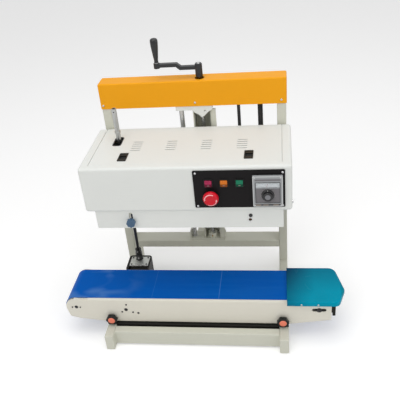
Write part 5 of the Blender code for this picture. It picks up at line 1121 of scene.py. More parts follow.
class SEALER_OT_head(bpy.types.Operator):
    """Finish the head's shell, its vented lid and the two sliding latches"""

    bl_idname = "sealer.head"
    bl_label = "Head"

    def execute(self, context):
        low, high = extent("head_shell")
        dressed("head_shell", "head_coat", 0.35)
        lid_low, lid_high = extent("head_lid")
        rests = [(block((start, lid_low.y + 2, high.z - 3.4),
                        (start + 5.8, lid_high.y - 2, high.z - 1.6)), "head_coat")
                 for start in (lid_low.x - 6.0, lid_high.x + 0.2)]
        piece("lid_rests", "head", rests)
        plug = [(0, 3.4), (3.2, 3.4), (3.8, 2.8), (3.8, 1.0), (5.2, 1.0), (5.2, 0), (0, 0)]
        side = [(low.x, y, z) for y in (22, high.y - 22) for z in (low.z + 16, high.z - 18)]
        back = [(x, high.y, low.z + 14) for x in (low.x + 60, high.x - 150, high.x - 60)]
        piece("head_side_screws", "head",
              [(turned(plug, (high.x, 12.0, low.z + 20), RIGHT, 28), "bright_steel"),
               *fixed(pan_screw, "bright_steel", side, LEFT, 5),
               *fixed(pan_screw, "bright_steel", back, BACK, 5)])
        self.lid()
        self.latches()
        return {"FINISHED"}

    def lid(self):
        low, high = extent("head_lid")
        shaft = middle("shaft_sleeve")
        dressed("head_lid", "head_coat", 0.3)
        rise = mm(looks("head").louvre_rise)
        hoods = []
        for group in range(4):
            centre = LOUVRE_FIRST[0] + group * LOUVRE_STEP[0]
            for line in range(5):
                y = LOUVRE_FIRST[1] + line * LOUVRE_STEP[1]
                hoods.append((louvre(centre - 14.2, centre + 14.2, y, y + 3.3, high.z - 0.25, rise),
                              "head_coat"))
        piece("lid_louvres", "lid", hoods)
        trim = frame_bar(shaft.x - 12.2, shaft.y - 35.2, shaft.x + 12.2, shaft.y + 17.2, 2.4, 6.8,
                         "XY", high.z - 1.9, high.z + 0.9, 0.4)
        piece("lid_slot_trim", "lid", [(trim, "black_rubber")])
        y, z = high.y + 1.4, high.z - 4.4
        piece("lid_hinge_pins", "lid",
              [(rod(2.2, (x, y, z), (x + 14, y, z), 24), "zinc_plate")
               for x in (low.x + 60, high.x - 110)])

    def latches(self):
        for name in ("left_latch", "right_latch"):
            low, high = extent(name)
            z = high.z - 6.0
            ribs = [rod(0.7, (low.x + 3.5, y, z), (high.x - 3.5, y, z), 12, 0.2)
                    for y in (low.y + 14 + step * 2.4 for step in range(6))]
            rim = frame_bar(low.x - 0.4, low.y - 0.4, high.x + 0.4, high.y + 0.4, 2.2, 1.6, "XY",
                            high.z - 0.1, high.z + 0.7, 0.25)
            dressed(name, "black_plastic", 0.3, [(part, "black_plastic") for part in [*ribs, rim]])


class SEALER_OT_guard(bpy.types.Operator):
    """Finish the mechanism plate and the front guard, with its clamp knob"""

    bl_idname = "sealer.guard"
    bl_label = "Guard"

    def execute(self, context):
        plate_low, plate_high = extent("mechanism_plate")
        dressed("mechanism_plate", "tube_coat", 0.35)
        dressed("front_guard", "head_coat", 0.35)
        low, high = extent("front_guard")
        button = [(0, 4.2), (3.0, 4.2), (4.4, 3.0), (4.8, 1.2), (4.8, 0), (0, 0)]
        eyelet_at, button_at = (160.0, low.y, high.z - 29.7), (161.5, low.y, high.z - 16.5)
        piece("guard_eyelets", "head",
              [(washer(4.6, 6.4, 0.9, eyelet_at, FRONT, 32), "bright_steel"),
               (turned(button, button_at, FRONT, 32), "gloss_black")])
        spots = [(x, plate_high.y, plate_high.z - 12)
                 for x in (plate_low.x + 40, -60, 60, plate_high.x - 40)]
        piece("mechanism_plate_bolts", "head",
              fixed(hex_head, "zinc_plate", spots, BACK, 7, 3))
        self.knob(middle("guard_knob"))
        return {"FINISHED"}

    def knob(self, at):
        low, high = extent("guard_knob")
        face = low.y
        boss = [(0, 0.9), (3.2, 0.9), (3.9, 0.3), (3.9, 0), (0, 0)]
        parts = [(prism(lobed(at, 11.4, 0.65, 8, 96), "XZ", face, face + 12, 1.1, 3, 60),
                  "clamp_knob"),
                 (washer(4.6, 8.2, 0.8, before(at, face + 0.5), FRONT), "clamp_knob"),
                 (turned(boss, before(at, face + 0.2), FRONT, 32), "clamp_knob"),
                 (pin(7.0, at, face + 11.5, face + 15, 36, 0.4), "bright_steel"),
                 (pin(3.0, at, face + 14, high.y, 24, 0.4), "zinc_plate")]
        piece("guard_clamp_knob", "guard_nut", parts, ("guard_knob",))


# Band drive

def wheel_spacing():
    """The distance between the axes of the two rows of wheels."""
    return middle("rear_drive_wheel").y - middle("front_drive_wheel").y


def wheel_parts(at, toothed=None):
    """A band wheel: rubber tyre on an aluminium hub, its shaft, and its gear if it has one."""
    radius, shaft = WHEEL_RADIUS, WHEEL_SHAFT
    band_low, band_high = extent("rear_band")
    low, high = band_low.z, band_high.z
    top = extent("front_idler_wheel")[1].z
    hub = [(0, high + 4), (shaft + 5, high + 4), (shaft + 5.6, high + 3.4),
           (shaft + 5.6, high + 1.2), (radius - 6.5, high + 1.2), (radius - 5.6, high + 2),
           (radius - 3.6, high + 2), (radius - 3.6, low - 3), (radius - 4.4, low - 3.5),
           (radius - 7.4, low - 3.5), (radius - 8, low - 2), (shaft + 5, low - 2),
           (shaft + 4.4, low - 3.4), (0, low - 3.4)]
    tyre = [(radius - 3.7, high + 1.8), (radius - 0.5, high + 1.8), (radius, high + 1.3),
            (radius, low - 0.4), (radius + 0.9, low - 0.6), (radius + 1.0, low - 1.2),
            (radius + 1.0, low - 3.0), (radius + 0.5, low - 3.5), (radius - 3.7, low - 3.5)]
    parts = [(upright(hub, at, 64), "turned_aluminium"),
             (upright(tyre, at, 96, closed=True), "wheel_rubber"),
             (post(shaft, at, high, top, 36, 0.4), "ground_shaft"),
             (hex_head(over(at, low - 3.0), DOWN, 7, 0.5), "zinc_plate"),
             (washer(shaft + 0.1, shaft + 4, 0.9, over(at, top - 3.0), UP), "black_steel")]
    if toothed:
        plate = extent("mechanism_plate")[1].z - 3.0
        parts += [(gear(*toothed, plate - 19.5, plate - 9.5, at), "gear_nylon"),
                  (post(9.0, at, high + 1, plate - 18, 40, 0.4), "gear_nylon")]
    return parts


class SEALER_OT_bands(bpy.types.Operator):
    """Finish the bands, their wheels, gears, press wheels and the heating and cooling blocks"""

    bl_idname = "sealer.bands"
    bl_label = "Band drive"

    def execute(self, context):
        for row, phase in (("front", 7.5), ("rear", 0.0)):
            drive, idler = row + "_drive_wheel", row + "_idler_wheel"
            toothed = (DRIVE_TEETH, wheel_spacing() / 2, phase)
            remade(drive, "_geared", wheel_parts(middle(drive), toothed))
            remade(idler, "_tyred", wheel_parts(middle(idler)))
            self.press_wheel(row + "_press_wheel")
            dressed(row + "_band", "band_cloth", 0.0)
            self.blocks(row)
        return {"FINISHED"}

    def press_wheel(self, name):
        low, high = extent(name)
        at, radius, top = middle(name), (high.x - low.x) / 2, low.z + 19
        face = [(0, top), (radius - 1, top), (radius, top - 1), (radius, low.z + 1),
                (radius - 1, low.z), (0, low.z)]
        remade(name, "_knurled",
               [(upright(face, at, 72), "press_wheel_steel"),
                (post(4, at, top - 1, high.z, 32, 0.4), "ground_shaft"),
                (washer(4.1, 7, 1, over(at, high.z - 3), UP), "black_steel")])

    def blocks(self, row):
        """The bar with its blocks, cartridge heaters, sprung studs and leads."""
        low, high = extent(row + "_seal_bar")
        side, outer, way = (-1, low.y, FRONT) if row == "front" else (1, high.y, BACK)
        bend = ((0, 2.0, 12), (0, 5.0, 12.6), (2, 7.5, 15), (5, 7.0, 22), (8, 4.5, 32))
        extras = []
        for x in (low.x + 28, low.x + 72):
            heater = rod(3.2, (x, outer - side * 12, low.z + 12),
                         (x, outer + side * 2.5, low.z + 12), 28)
            lead = [(x + along, outer + side * out, low.z + up) for along, out, up in bend]
            lead.append((x + 9, outer + side * 3.0, high.z + 0.5))
            extras += [(heater, "bright_steel"), (tube(lead, 1.1, 10), "white_wire")]
        spots = [(x, outer, high.z - 14)
                 for x in (low.x + 18, low.x + 86, high.x - 86, high.x - 18)]
        extras += fixed(socket_screw, "black_steel", spots, way, 6, 2.4)
        extras += [(helix((x, outer - side * 4.0), 3.4, high.z - 0.4, high.z + 0.2, 1, 0.4),
                    "bright_steel") for x in (low.x + 20, high.x - 20)]
        dressed(row + "_seal_bar", "milled_aluminium", 0.3, extras)


class SEALER_OT_motor(bpy.types.Operator):
    """Finish the motor, its pinion and pulley, and the timing belt to the sleeve"""

    bl_idname = "sealer.motor"
    bl_label = "Motor"

    def execute(self, context):
        low, high = extent("motor")
        at = middle("motor")
        split = low.z + 38
        corners = [(x, y, split) for x in (low.x + 6, high.x - 6) for y in (low.y + 6, high.y - 6)]
        cap = [(0, 1.4), (9, 1.4), (10, 0.4), (10, 0), (0, 0)]
        extras = fixed(socket_screw, "black_steel", corners, UP, 6, 3)
        extras += [(washer(28.0, 28.5, 2.0, over(at, z), UP, 64), "black_coat")
                   for z in (split + 6, high.z - 9)]
        extras.append((turned(cap, over(at, high.z - 0.4), UP, 48), "black_coat"))
        bend = ((27, 4, high.z - 12), (31, 4, high.z - 12.5), (34, 3, high.z - 20),
                (35, 2, split + 10), (38, 2, split - 20), (46, 2, low.z + 2.0))
        for side, look in ((-1, "red_wire"), (1, "white_wire")):
            route = [(at.x - out, at.y + side * apart, z) for out, apart, z in bend]
            extras.append((tube(route, 1.2, 10), look))
        dressed("motor", "black_coat", 0.5, extras)
        self.pinion(at)
        dressed("timing_belt", "timing_rubber", 0.0)
        return {"FINISHED"}

    def pinion(self, at):
        low, high = extent("motor_pinion")
        plate = extent("mechanism_plate")[1].z - 3.0
        pulley = [(0, plate - 0.5), (9.0, plate - 0.5), (9.0, plate - 8.2), (7.0, plate - 8.2),
                  (7.0, low.z), (3, low.z), (2.4, low.z + 0.5), (0, low.z + 0.5)]
        teeth = gear(PINION_TEETH, wheel_spacing() / 4, 15, plate - 19.5, plate - 9.5, at)
        remade("motor_pinion", "_and_pulley",
               [(upright(pulley, at, 60), "turned_aluminium"), (teeth, "gear_nylon"),
                (post(4, at, plate - 1, high.z, 32, 0.4), "ground_shaft")])


# Control panel

class SEALER_OT_panel(bpy.types.Operator):
    """Finish the panel, its buttons, the emergency stop and the temperature controller"""

    bl_idname = "sealer.panel"
    bl_label = "Control panel"

    def execute(self, context):
        low, high = extent("control_panel")
        dressed("control_panel", "panel_film", 0.3)
        spots = ((low.x + 7, high.z - 6.5), (high.x - 6.1, high.z - 7), (low.x + 7.5, low.z + 5.5),
                 (high.x - 6, low.z + 5.5))
        piece("panel_screws", "head",
              fixed(pan_screw, "bright_steel", [(x, low.y, z) for x, z in spots], FRONT,
                    mm(looks("head").panel_screw)))
        for name, look in (("red_button", "left_lens"), ("orange_button", "middle_lens"),
                           ("green_button", "right_lens")):
            self.button(name, look, low.y)
        self.stop(low.y)
        self.controller()
        self.dial()
        return {"FINISHED"}

    def button(self, name, look, panel):
        """A square lens with a raised rim and a pale mark, and its bezel on the panel."""
        low, high = extent(name)
        at = (low + high) / 2
        reach = (high.x - low.x) / 2 + 2.4
        cap = whole(name)
        bmesh.ops.translate(cap, vec=-at, verts=cap.verts)
        bmesh.ops.scale(cap, vec=(0.98, 1, 0.98), verts=cap.verts)
        bmesh.ops.translate(cap, vec=at, verts=cap.verts)
        rounded(cap, 0.9, 3)
        mark = block((at.x - 2.6, low.y - 0.16, at.z - 5.8), (at.x + 2.6, low.y + 0.3, at.z - 4.4),
                     0.12, 1)
        rim = frame_bar(low.x + 0.7, low.z + 0.7, high.x - 0.7, high.z - 0.7, 1.3, 1.6, "XZ",
                        low.y - 0.45, low.y + 0.3, 0.18)
        remade(name, "_lens", [(cap, look), (rim, look), (mark, "lens_mark")])
        bezel = frame_bar(at.x - reach, at.z - reach, at.x + reach, at.z + reach, 2.0, 2.4, "XZ",
                          panel - 2.1, panel + 0.05, 0.4)
        piece(name + "_bezel", "head", [(bezel, "black_plastic")])

    def stop(self, panel):
        """The mushroom cap with its turning arrows, over a collar on the panel."""
        low, high = extent("estop_button")
        at = middle("estop_button")
        radius = (high.x - low.x) / 2
        face = low.y
        crown = ((0.0, 1.0), (5.0, 0.95), (9.0, 0.6), (11.2, 0.1), (12.4, 0.0), (14.2, 0.4),
                 (16.2, 1.4), (18.2, 3.4), (19.4, 5.8))
        dome = [*crown, (radius, 7.8), (radius, 11.0), (19.4, 12.2), (17.6, 13.5), (15.6, 14),
                (8, 14), (8, high.y - face), (0, high.y - face)]
        parts = [(turned(dome, before(at, face), BACK, 96), "stop_cap")]
        for grip in range(24):
            angle = 2 * math.pi * grip / 24
            spot = at + 19.3 * Vector((math.cos(angle), 0, math.sin(angle)))
            parts.append((pin(0.65, spot, face + 7.6, face + 11.4, 10), "stop_cap"))
        parts += [(self.arrow(at, face, start, crown), "stop_arrow") for start in (62, 242)]
        piece("stop_mushroom", "stop", parts, ("estop_button",))
        collar = [(8.8, 0), (14.5, 0), (14.5, 1.2), (13.4, 2.2), (10.2, 2.5), (8.8, 2.5)]
        piece("stop_collar", "head",
              [(turned(collar, before(at, panel), FRONT, 64, closed=True), "stop_collar")])

    def arrow(self, at, face, start, crown):
        """A curved arrow that lies on the cap's front."""
        end, tip = start + 105, math.radians(start + 128)
        outline = [*arc((0, 0), 16.2, start, end, 16), *arc((0, 0), 17.8, end, end, 1),
                   (15.2 * math.cos(tip), 15.2 * math.sin(tip)),
                   *arc((0, 0), 12.6, end, end, 1), *arc((0, 0), 14.2, end, start, 16)]
        spots = []
        for spot in outline:
            if not spots or math.dist(spots[-1], spot) > 0.05:
                spots.append(spot)
        bm = prism(spots, "XZ", 0.0, 2.0)
        bmesh.ops.triangulate(bm, faces=[f for f in bm.faces if len(f.verts) > 4])
        bmesh.ops.subdivide_edges(bm, edges=bm.edges[:], cuts=1)
        for vert in bm.verts:
            reach = math.hypot(vert.co.x, vert.co.z)
            depth = 0.0
            for (r1, d1), (r2, d2) in zip(crown, crown[1:]):
                if r1 <= reach <= r2:
                    depth = d1 + (d2 - d1) * (reach - r1) / (r2 - r1)
            vert.co.y += depth - 0.15
        bmesh.ops.translate(bm, vec=before(at, face), verts=bm.verts)
        bmesh.ops.recalc_face_normals(bm, faces=bm.faces)
        return bm

    def controller(self):
        """The frame, its meter with a scale and a needle, the window and the dial's scale."""
        name = "temperature_controller"
        low, high = extent(name)
        dial, face = middle("controller_dial"), low.y
        left, right = low.x + 8, high.x - 8
        meter_low, meter_high = high.z - 33, high.z - 19

        def plate(x1, x2, z1, z2, near, far, look, edge=0.1):
            return block((x1, face + near, z1), (x2, face + far, z2), edge, 1), look

        parts = [(rounded(whole(name), 0.5), "controller_frame"),
                 plate(left + 0.1, right - 0.1, meter_low + 0.1, meter_high - 0.1, 2.6, 3.2,
                       "meter_card", 0),
                 plate(left + 0.05, right - 0.05, low.z + 12.05, high.z - 35.05, 0.7, 1.1,
                       "controller_face", 0),
                 plate(left - 2, right + 2, high.z - 13.0, high.z - 8.5, -0.15, 0.4,
                       "controller_face"),
                 plate(left - 4, right + 4, low.z + 2.6, low.z + 7.0, -0.15, 0.4, "gloss_black"),
                 (frame_bar(low.x + 0.5, low.z + 0.5, high.x - 0.5, high.z - 0.5, 2.2, 2.0, "XZ",
                            face - 0.5, face + 0.3, 0.15), "controller_rim"),
                 (frame_bar(left - 1.6, low.z + 10.4, right + 1.6, high.z - 17.4, 1.4, 1.6, "XZ",
                            face - 0.3, face + 0.3, 0.15), "black_plastic")]
        parts += [plate(start, start + 13, low.z + 3.8, low.z + 5.8, -0.3, 0, "strip_tan")
                  for start in (left - 1, left + 17, left + 42)]
        ticks = meter_high - 2.2
        for tick in range(21):
            x = left + 6 + (right - left - 12) * tick / 20
            tall = 3.4 if tick % 5 == 0 else 2.0
            parts.append(plate(x - 0.15, x + 0.15, ticks - tall, ticks, 2.45, 2.65,
                               "black_plastic", 0))
        needle = prism([(-0.25, 0), (0.25, 0), (0.12, 10.5), (-0.12, 10.5)], "XZ", 1.9, 2.1)
        lean = Matrix.Rotation(math.radians(18), 3, "Y")
        bmesh.ops.rotate(needle, cent=(0, 0, 0), matrix=lean, verts=needle.verts)
        bmesh.ops.translate(needle, vec=((left + right) / 2 - 3, face, meter_low + 1),
                            verts=needle.verts)
        parts.append((needle, "needle_red"))
        for tick in range(25):
            angle = math.radians(-60 + tick * 12.5)
            ends = [(dial.x + r * math.cos(angle), face + 0.7, dial.z + r * math.sin(angle))
                    for r in (16.6, 18.3 if tick % 4 == 0 else 17.5)]
            parts.append((rod(0.22, *ends, 6, 0.05), "pale_mark"))
        corners = [(x, face, z) for x in (low.x + 5, high.x - 5)
                   for z in (low.z + 4.5, high.z - 4.5)]
        remade(name, "_detailed",
               parts + fixed(pan_screw, "bright_steel", corners, FRONT, 3.4))
        glass = block((left + 0.1, face + 0.2, meter_low + 0.1),
                      (right - 0.1, face + 1.2, meter_high - 0.1), 0.2)
        piece("meter_window", "head", [(glass, "meter_glass")])

    def dial(self):
        low, high = extent("controller_dial")
        at = middle("controller_dial")
        base = low.y + 12
        mark = block((at.x - 0.5, low.y + 7.2, at.z + 12.7), (at.x + 0.5, low.y + 8.2, at.z + 15.4),
                     0.15, 1)
        skirt = [(0, 0), (15.6, 0), (16.0, 0.5), (16.0, 3.2), (14.2, 4.4), (12.0, 4.8), (0, 4.8)]
        cap = [(0, 0.35), (6.4, 0.35), (7.0, 0), (0, 0)]
        remade("controller_dial", "_knob",
               [(turned(skirt, before(at, base), FRONT, 72), "gloss_black"),
                (prism(lobed(at, 12.2, 0.35, 20), "XZ", low.y, base - 4, 0.8, 3, 60),
                 "gloss_black"),
                (turned(cap, before(at, low.y + 0.1), FRONT, 48), "dial_cap"),
                (mark, "pale_mark"), (pin(3, at, base - 1, high.y, 24), "bright_steel")])


# Conveyor

def roller(name, look):
    """A roller with dished ends on its axle, and a washer at each end."""
    low, high = extent(name)
    at, radius = middle(name), (high.x - low.x) / 2
    belt_low, belt_high = extent("conveyor_belt")
    near, length = belt_low.y, belt_high.y - belt_low.y
    axle = 3.0 if name == "snub_roller" else 5.0
    half = [(axle + 1.0, 1.2), (radius - 2.2, 1.2), (radius - 1.4, 0.0), (radius - 0.5, 0.0),
            (radius, 0.5)]
    shell = half + [(reach, length - inset) for reach, inset in reversed(half)]
    outer = min(axle + 5, radius - 3)
    remade(name, "_turned",
           [(turned(shell, before(at, near), BACK, 96, closed=True), look),
            (pin(axle, at, low.y, high.y, 32, 0.5), "black_steel"),
            (washer(axle, outer, 0.9, before(at, near + 1.4), FRONT, 40), "black_steel"),
            (washer(axle, outer, 0.9, before(at, belt_high.y - 1.4), BACK, 40), "black_steel")])


class SEALER_OT_conveyor(bpy.types.Operator):
    """Finish the conveyor's frame, belt, rollers, yoke, base plate and star knobs"""

    bl_idname = "sealer.conveyor"
    bl_label = "Conveyor"

    def execute(self, context):
        low, high = extent("conveyor_frame")
        # The frame and its rails take the lighter copy of the tube coat: painted light on the
        # cheeks.
        dressed("conveyor_frame", "cheek_coat", 0.35)
        rail_low, rail_high, thick = 125.0, 136.6, 3.4
        rails = [(block((low.x + 26, near, rail_low), (low.x + 68, near + thick, rail_high), 0.4),
                  "cheek_coat") for near in (low.y + 2.1, high.y - 2.1 - thick)]
        piece("belt_side_rails", "frame", rails)
        dressed("conveyor_belt", "belt_skin", 0.0)
        dressed("conveyor_base_plate", "black_coat", 0.35)
        for name in ("left_end_roller", "right_end_roller"):
            roller(name, "turned_aluminium")
        roller("drive_roller", "black_rubber")
        roller("snub_roller", "turned_aluminium")
        # Places of the frame's screws, seen from the front
        slack, stay = (-194.0, 118.3), ((-209.0, 92.0), (-178.0, 91.0))
        clip = ((-352.3, 107.2), (-329.0, 107.0))
        screws = []
        for spots, y, way, size, rise in (((slack, *stay), low.y, FRONT, 5.0, 1.4),
                                          (clip, low.y, FRONT, 4.4, 1.2),
                                          ((slack, *clip), high.y, BACK, 5.0, 1.4)):
            screws += fixed(socket_screw, "black_steel", [(x, y, z) for x, z in spots], way, size,
                            rise)
        left, right = middle("left_end_roller"), middle("right_end_roller")
        screws += [(washer(5.6, 8.0, 0.5, before(left, high.y), BACK), "zinc_plate"),
                   (washer(5.6, 7.6, 0.6, before(right, low.y), FRONT), "black_steel"),
                   (washer(5.6, 7.6, 0.6, before(right, high.y), BACK), "black_steel")]
        piece("conveyor_screws", "frame", screws)
        self.yoke()
        self.feet_bolts()
        for name in ("left_star", "right_star"):
            self.star_knob(name)
        return {"FINISHED"}

    def yoke(self):
        low, high = extent("tension_yoke")
        z = middle("right_end_roller").z
        extras = []
        for y in (low.y + 22, high.y - 22):
            extras += [(rod(3, (low.x + 44, y, z), (high.x - 0.2, y, z), 24, 0.4), "zinc_turned"),
                       (hex_head((high.x - 8.2, y, z), LEFT, 9, 4), "zinc_plate")]
        dressed("tension_yoke", "black_coat", 0.5, extras)

    def feet_bolts(self):
        low, high = extent("conveyor_base_plate")
        top = extent("left_foot")[1].z + 3.3
        spots = [(side * (high.x - 12.5), y, top) for side in (-1, 1)
                 for y in (low.y + 4.5, high.y - 4.5)]
        piece("base_plate_bolts", "frame",
              fixed(hex_head, "zinc_plate", spots, UP, 6, 2.6))

    def star_knob(self, name):
        """A six-lobed knob with a coloured cap, on its stud."""
        name += "_knob"
        low, high = extent(name)
        at, face = middle(name), low.y + 2.0
        cap = [(0, 1.9), (6.0, 1.8), (8.6, 1.3), (9.8, 0.5), (10.0, 0.0), (0, 0)]
        remade(name, "_lobed",
               [(prism(lobed(at, 15.3, 1.1, 6), "XZ", face, face + 11, 1.3, 3, 60),
                 "black_plastic"),
                (turned(cap, before(at, face + 0.1), FRONT, 48), "knob_cap"),
                (pin(8.6, at, face + 10.5, face + 15.7, 40, 0.5), "black_plastic"),
                (pin(4, at, face + 15, high.y, 28, 0.5), "zinc_turned")])


class SEALER_OT_tray(bpy.types.Operator):
    """Finish the outlet tray and its screws"""

    bl_idname = "sealer.tray"
    bl_label = "Outlet tray"

    def execute(self, context):
        low, high = extent("outlet_tray")
        dressed("outlet_tray", "tray_skin", 0.3)
        screws = []
        for x in (low.x + 38, low.x + 82):
            screws += [(pan_screw((x, low.y, high.z - 9.0), FRONT, 5), "bright_steel"),
                       (pan_screw((x, high.y, high.z - 9.0), BACK, 5), "bright_steel")]
        piece("tray_screws", "frame", screws)
        return {"FINISHED"}


# Drive down to the conveyor

class SEALER_OT_gearbox(bpy.types.Operator):
    """Finish the angle gearbox, the telescopic shaft with its coupling, and the sleeve"""

    bl_idname = "sealer.gearbox"
    bl_label = "Gearbox and shaft"

    def execute(self, context):
        low, high = extent("gearbox_housing")
        lid_low, lid_high = extent("gearbox_lid")
        shaft = middle("drive_shaft")
        dressed("gearbox_housing", "black_coat", 0.6)
        screws = [(x, y, lid_high.z) for x in (lid_low.x + 6, lid_high.x - 6)
                  for y in (lid_low.y + 6, lid_high.y - 6)]
        # A bright steel band along the lid's front top edge, standing for that edge's highlight: a
        # painted highlight.
        edge_glint_piece = block((lid_low.x + 1.0, lid_low.y - 0.4, lid_high.z - 2.6),
                      (lid_high.x - 1.0, lid_low.y + 1.4, lid_high.z + 0.5), 0.4)
        collar = washer(5.6, 11.5, 0.35, over(shaft, lid_high.z), UP, 48)
        dressed("gearbox_lid", "lid_casting", 0.6,
                [*fixed(socket_screw, "black_steel", screws, UP, 5, 1.6),
                 (edge_glint_piece, "bright_steel"), (collar, "black_rubber")])
        bolts = [(x, high.y, z) for x in (low.x + 12, high.x - 12)
                 for z in (low.z + 10, high.z - 10)]
        plug = turned([(0, 1.6), (3.2, 1.6), (4.6, 1.0), (4.6, 0), (0, 0)],
                      (low.x, middle("gearbox_housing").y + 12, low.z + 18), LEFT, 6)
        piece("gearbox_bolts_and_plug", "frame",
              [*fixed(hex_head, "zinc_plate", bolts, BACK, 7, 2.4), (plug, "brass")])
        self.shaft(shaft, lid_high.z)
        self.sleeve()
        return {"FINISHED"}

    def shaft(self, at, base):
        low, high = extent("drive_shaft")
        foot, top = base + 0.4, base + 38.4
        radius = 8 / math.sqrt(3)
        coupling = [(0, top), (8.4, top), (9.2, top - 0.8), (9.4, top - 12), (9.9, top - 12.6),
                    (10.3, top - 13.4), (10.3, foot + 1.0), (9.6, foot), (0, foot)]
        hexagon = [(0, high.z), (radius - 0.8, high.z), (radius, high.z - 0.8),
                   (radius, top - 2), (0, top - 2)]
        remade("drive_shaft", "_coupled",
               [(upright(coupling, at), "gloss_black"), (upright(hexagon, at, 6), "black_steel"),
                (post(5, at, low.z, foot + 1, 32, 0.5), "ground_shaft"),
                (socket_screw((at.x, at.y - 9.9, foot + 8), FRONT, 4, 0.6), "bright_steel"),
                (socket_screw((at.x, at.y - 9.0, top - 7), FRONT, 4, 0.6), "bright_steel")])

    def sleeve(self):
        top, at = extent("shaft_sleeve")[1].z, middle("shaft_sleeve")
        screw = socket_screw((at.x, at.y - 6.3, top - 8), FRONT, 3.4, 0.6)
        lock = washer(6.5, 8.2, 5.0, over(at, top - 70), UP, 40)
        dressed("shaft_sleeve", "zinc_turned", 0.4,
                [(screw, "black_steel"), (lock, "zinc_turned")], 40)


# Cables

class SEALER_OT_cables(bpy.types.Operator):
    """Finish the thin cable and the ringed conduit from the top beam to the head"""

    bl_idname = "sealer.cables"
    bl_label = "Cables"

    def execute(self, context):
        head_back = extent("head_shell")[1].y
        for name, ringed in (("head_cable", False), ("head_conduit", True)):
            low, high = extent(name)
            x, radius = (low.x + high.x) / 2, (high.x - low.x) / 2
            route = self.route(x, head_back + 0.3, low.z + radius, high.z)
            radii = [radius if not ringed or index % 4 < 2 else radius * 0.84
                     for index in range(len(route))]
            made = piece(name + "_finished", None,
                         [(tube(route, radii, 24), "cable_skin")], (name,))
            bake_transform(made)
            nut, spot = radius + 3.2, (x, head_back, low.z + radius)
            gland = [(0, 0), (nut, 0), (nut, 3.5), (nut - 1, 4.2), (radius + 1.6, 8.0),
                     (radius + 0.5, 8.6), (0, 8.6)]
            bush = [(0, 0), (nut, 0), (nut, 2.0), (nut - 1.6, 3.8), (0, 3.8)]
            piece(name + "_gland", "head",
                  [(turned(gland, spot, BACK, 40), "black_plastic"),
                   (hex_head(spot, BACK, 2 * nut + 1.2, 2.8), "black_plastic")])
            piece(name + "_bush", "frame",
                  [(turned(bush, (x, route[0][1], high.z + 0.3), DOWN, 40), "black_plastic")])
        return {"FINISHED"}

    def route(self, x, end_y, entry, top):
        """Down from the beam, round a bend, and into the head's back."""
        bend = 14.0
        drop = end_y + bend + 5
        step = mm(looks("conveyor").corrugation) / 4
        count = int((top - entry - bend) / step)
        spots = [(x, drop, top - (top - entry - bend) * index / count) for index in range(count)]
        corner = [(x, drop - bend + bend * math.cos(math.radians(a)),
                   entry + bend - bend * math.sin(math.radians(a))) for a in range(0, 91, 4)]
        return spots + corner + [(x, end_y + 2.5, entry), (x, end_y, entry)]


# Stage

def looked_at(tree):
    """1 on what the camera sees, also in a mirror or through glass, and 0 for other light."""
    rays = node(tree, "LightPath").outputs
    return sums(tree, "MAXIMUM", rays["Is Camera Ray"],
                sums(tree, "MAXIMUM", rays["Is Glossy Ray"], rays["Is Transmission Ray"]))


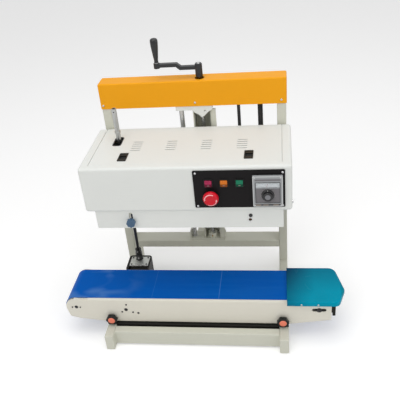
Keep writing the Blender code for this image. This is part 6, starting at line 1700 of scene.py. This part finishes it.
class SEALER_OT_stage(bpy.types.Operator):
    """Lay the floor, light it softly and set the camera"""

    bl_idname = "sealer.stage"
    bl_label = "Stage"

    def execute(self, context):
        values = looks("stage")
        self.floor(values)
        self.sky(values)
        self.lamp("key_lamp", (-1.1, -2.3, 2.3), (0.0, 0.0, 0.35), 2.2, values.key_power)
        self.lamp("fill_lamp", (2.4, -1.2, 1.2), (0.0, 0.0, 0.35), 1.8, values.fill_power)
        self.lamp("top_lamp", (0.1, -0.35, 2.7), (0.0, 0.0, 0.3), 2.0, values.top_power)
        self.camera(values)
        view = bpy.context.scene.view_settings
        view.view_transform = "Standard"
        return {"FINISHED"}

    def floor(self, values):
        bm = bmesh.new()
        bmesh.ops.create_grid(bm, x_segments=1, y_segments=1, size=12)
        mesh = bpy.data.meshes.new("studio_floor")
        bm.to_mesh(mesh)
        bm.free()
        made = bpy.data.objects.new("studio_floor", mesh)
        bpy.context.scene.collection.objects.link(made)
        material, tree = started("floor_look", Roughness=0.9, Specular_IOR_Level=0.1)
        shader = tree.nodes["Principled BSDF"]
        tone = drift(tree, opaque([values.floor_tone] * 3), 0.004, 0.6)
        tree.links.new(tone, shader.inputs["Base Color"])
        shader.inputs["Emission Color"].default_value = WHITE
        glow = 0.30
        tree.links.new(times(tree, looked_at(tree), glow), shader.inputs["Emission Strength"])
        mesh.materials.append(material)

    def sky(self, values):
        world = bpy.context.scene.world or bpy.data.worlds.new("studio")
        bpy.context.scene.world = world
        world.use_nodes = True
        tree = world.node_tree
        backdrop = tree.nodes["Background"]
        backdrop.inputs["Color"].default_value = WHITE
        tree.links.new(ranged(tree, looked_at(tree), 0.0, 1.0, values.sky_strength, 1.0),
                       backdrop.inputs["Strength"])

    def lamp(self, name, place, target, size, power):
        data = bpy.data.lights.new(name, "AREA")
        data.shape = "SQUARE"
        data.size = size
        data.energy = power
        made = bpy.data.objects.new(name, data)
        made.location = place
        made.rotation_euler = (Vector(place) - Vector(target)).to_track_quat("Z", "Y").to_euler()
        bpy.context.scene.collection.objects.link(made)

    def camera(self, values):
        """The camera at the photo's place, with its slight roll."""
        data = bpy.data.cameras.new("photo_camera")
        data.sensor_width = 36
        data.lens = values.lens
        data.clip_end = 50
        made = bpy.data.objects.new("photo_camera", data)
        right = Vector((0.99025663, 0.11079086, -0.0843635))
        down = Vector((-0.01192189, -0.53614877, -0.84403931))
        ahead = Vector((-0.13874323, 0.83682129, -0.52960404))
        axes = Matrix((right, -down, -ahead)).transposed()
        place = Vector((0.225546, -1.359952, 1.220240))
        made.matrix_world = Matrix.Translation(place) @ axes.to_4x4()
        bpy.context.scene.collection.objects.link(made)
        bpy.context.scene.camera = made


STEPS = (SEALER_OT_stage, SEALER_OT_stand, SEALER_OT_cover, SEALER_OT_lift, SEALER_OT_crank,
         SEALER_OT_head, SEALER_OT_guard, SEALER_OT_bands, SEALER_OT_motor, SEALER_OT_panel,
         SEALER_OT_conveyor, SEALER_OT_tray, SEALER_OT_gearbox, SEALER_OT_cables)
GROUPS = {"stand": SealerStandLooks, "head": SealerHeadLooks, "drive": SealerDriveLooks,
          "conveyor": SealerConveyorLooks, "stage": SealerStageLooks}


class SEALER_PT_sidebar(bpy.types.Panel):
    """Sizes and colours of the band sealer, and the steps that finish it"""

    bl_idname = "SEALER_PT_sidebar"
    bl_label = "Band Sealer"
    bl_space_type = "VIEW_3D"
    bl_region_type = "UI"
    bl_category = "Band Sealer"

    def draw(self, context):
        layout = self.layout
        for kind, group in GROUPS.items():
            box = layout.box()
            box.label(text=kind.capitalize())
            for name in group.__annotations__:
                box.prop(looks(kind), name)
        for step in STEPS:
            layout.operator(step.bl_idname)


def register():
    for group in GROUPS.values():
        bpy.utils.register_class(group)
    for kind, group in GROUPS.items():
        setattr(bpy.types.Scene, "sealer_" + kind, PointerProperty(type=group))
    for step in STEPS:
        bpy.utils.register_class(step)
    bpy.utils.register_class(SEALER_PT_sidebar)


def unregister():
    bpy.utils.unregister_class(SEALER_PT_sidebar)
    for step in reversed(STEPS):
        bpy.utils.unregister_class(step)
    for kind in GROUPS:
        delattr(bpy.types.Scene, "sealer_" + kind)
    for group in reversed(list(GROUPS.values())):
        bpy.utils.unregister_class(group)


def main():
    register()
    for make in EFFECTS:
        make()
    for step in STEPS:
        area, name = step.bl_idname.split(".")
        getattr(getattr(bpy.ops, area), name)()


if __name__ == "__main__":
    main()
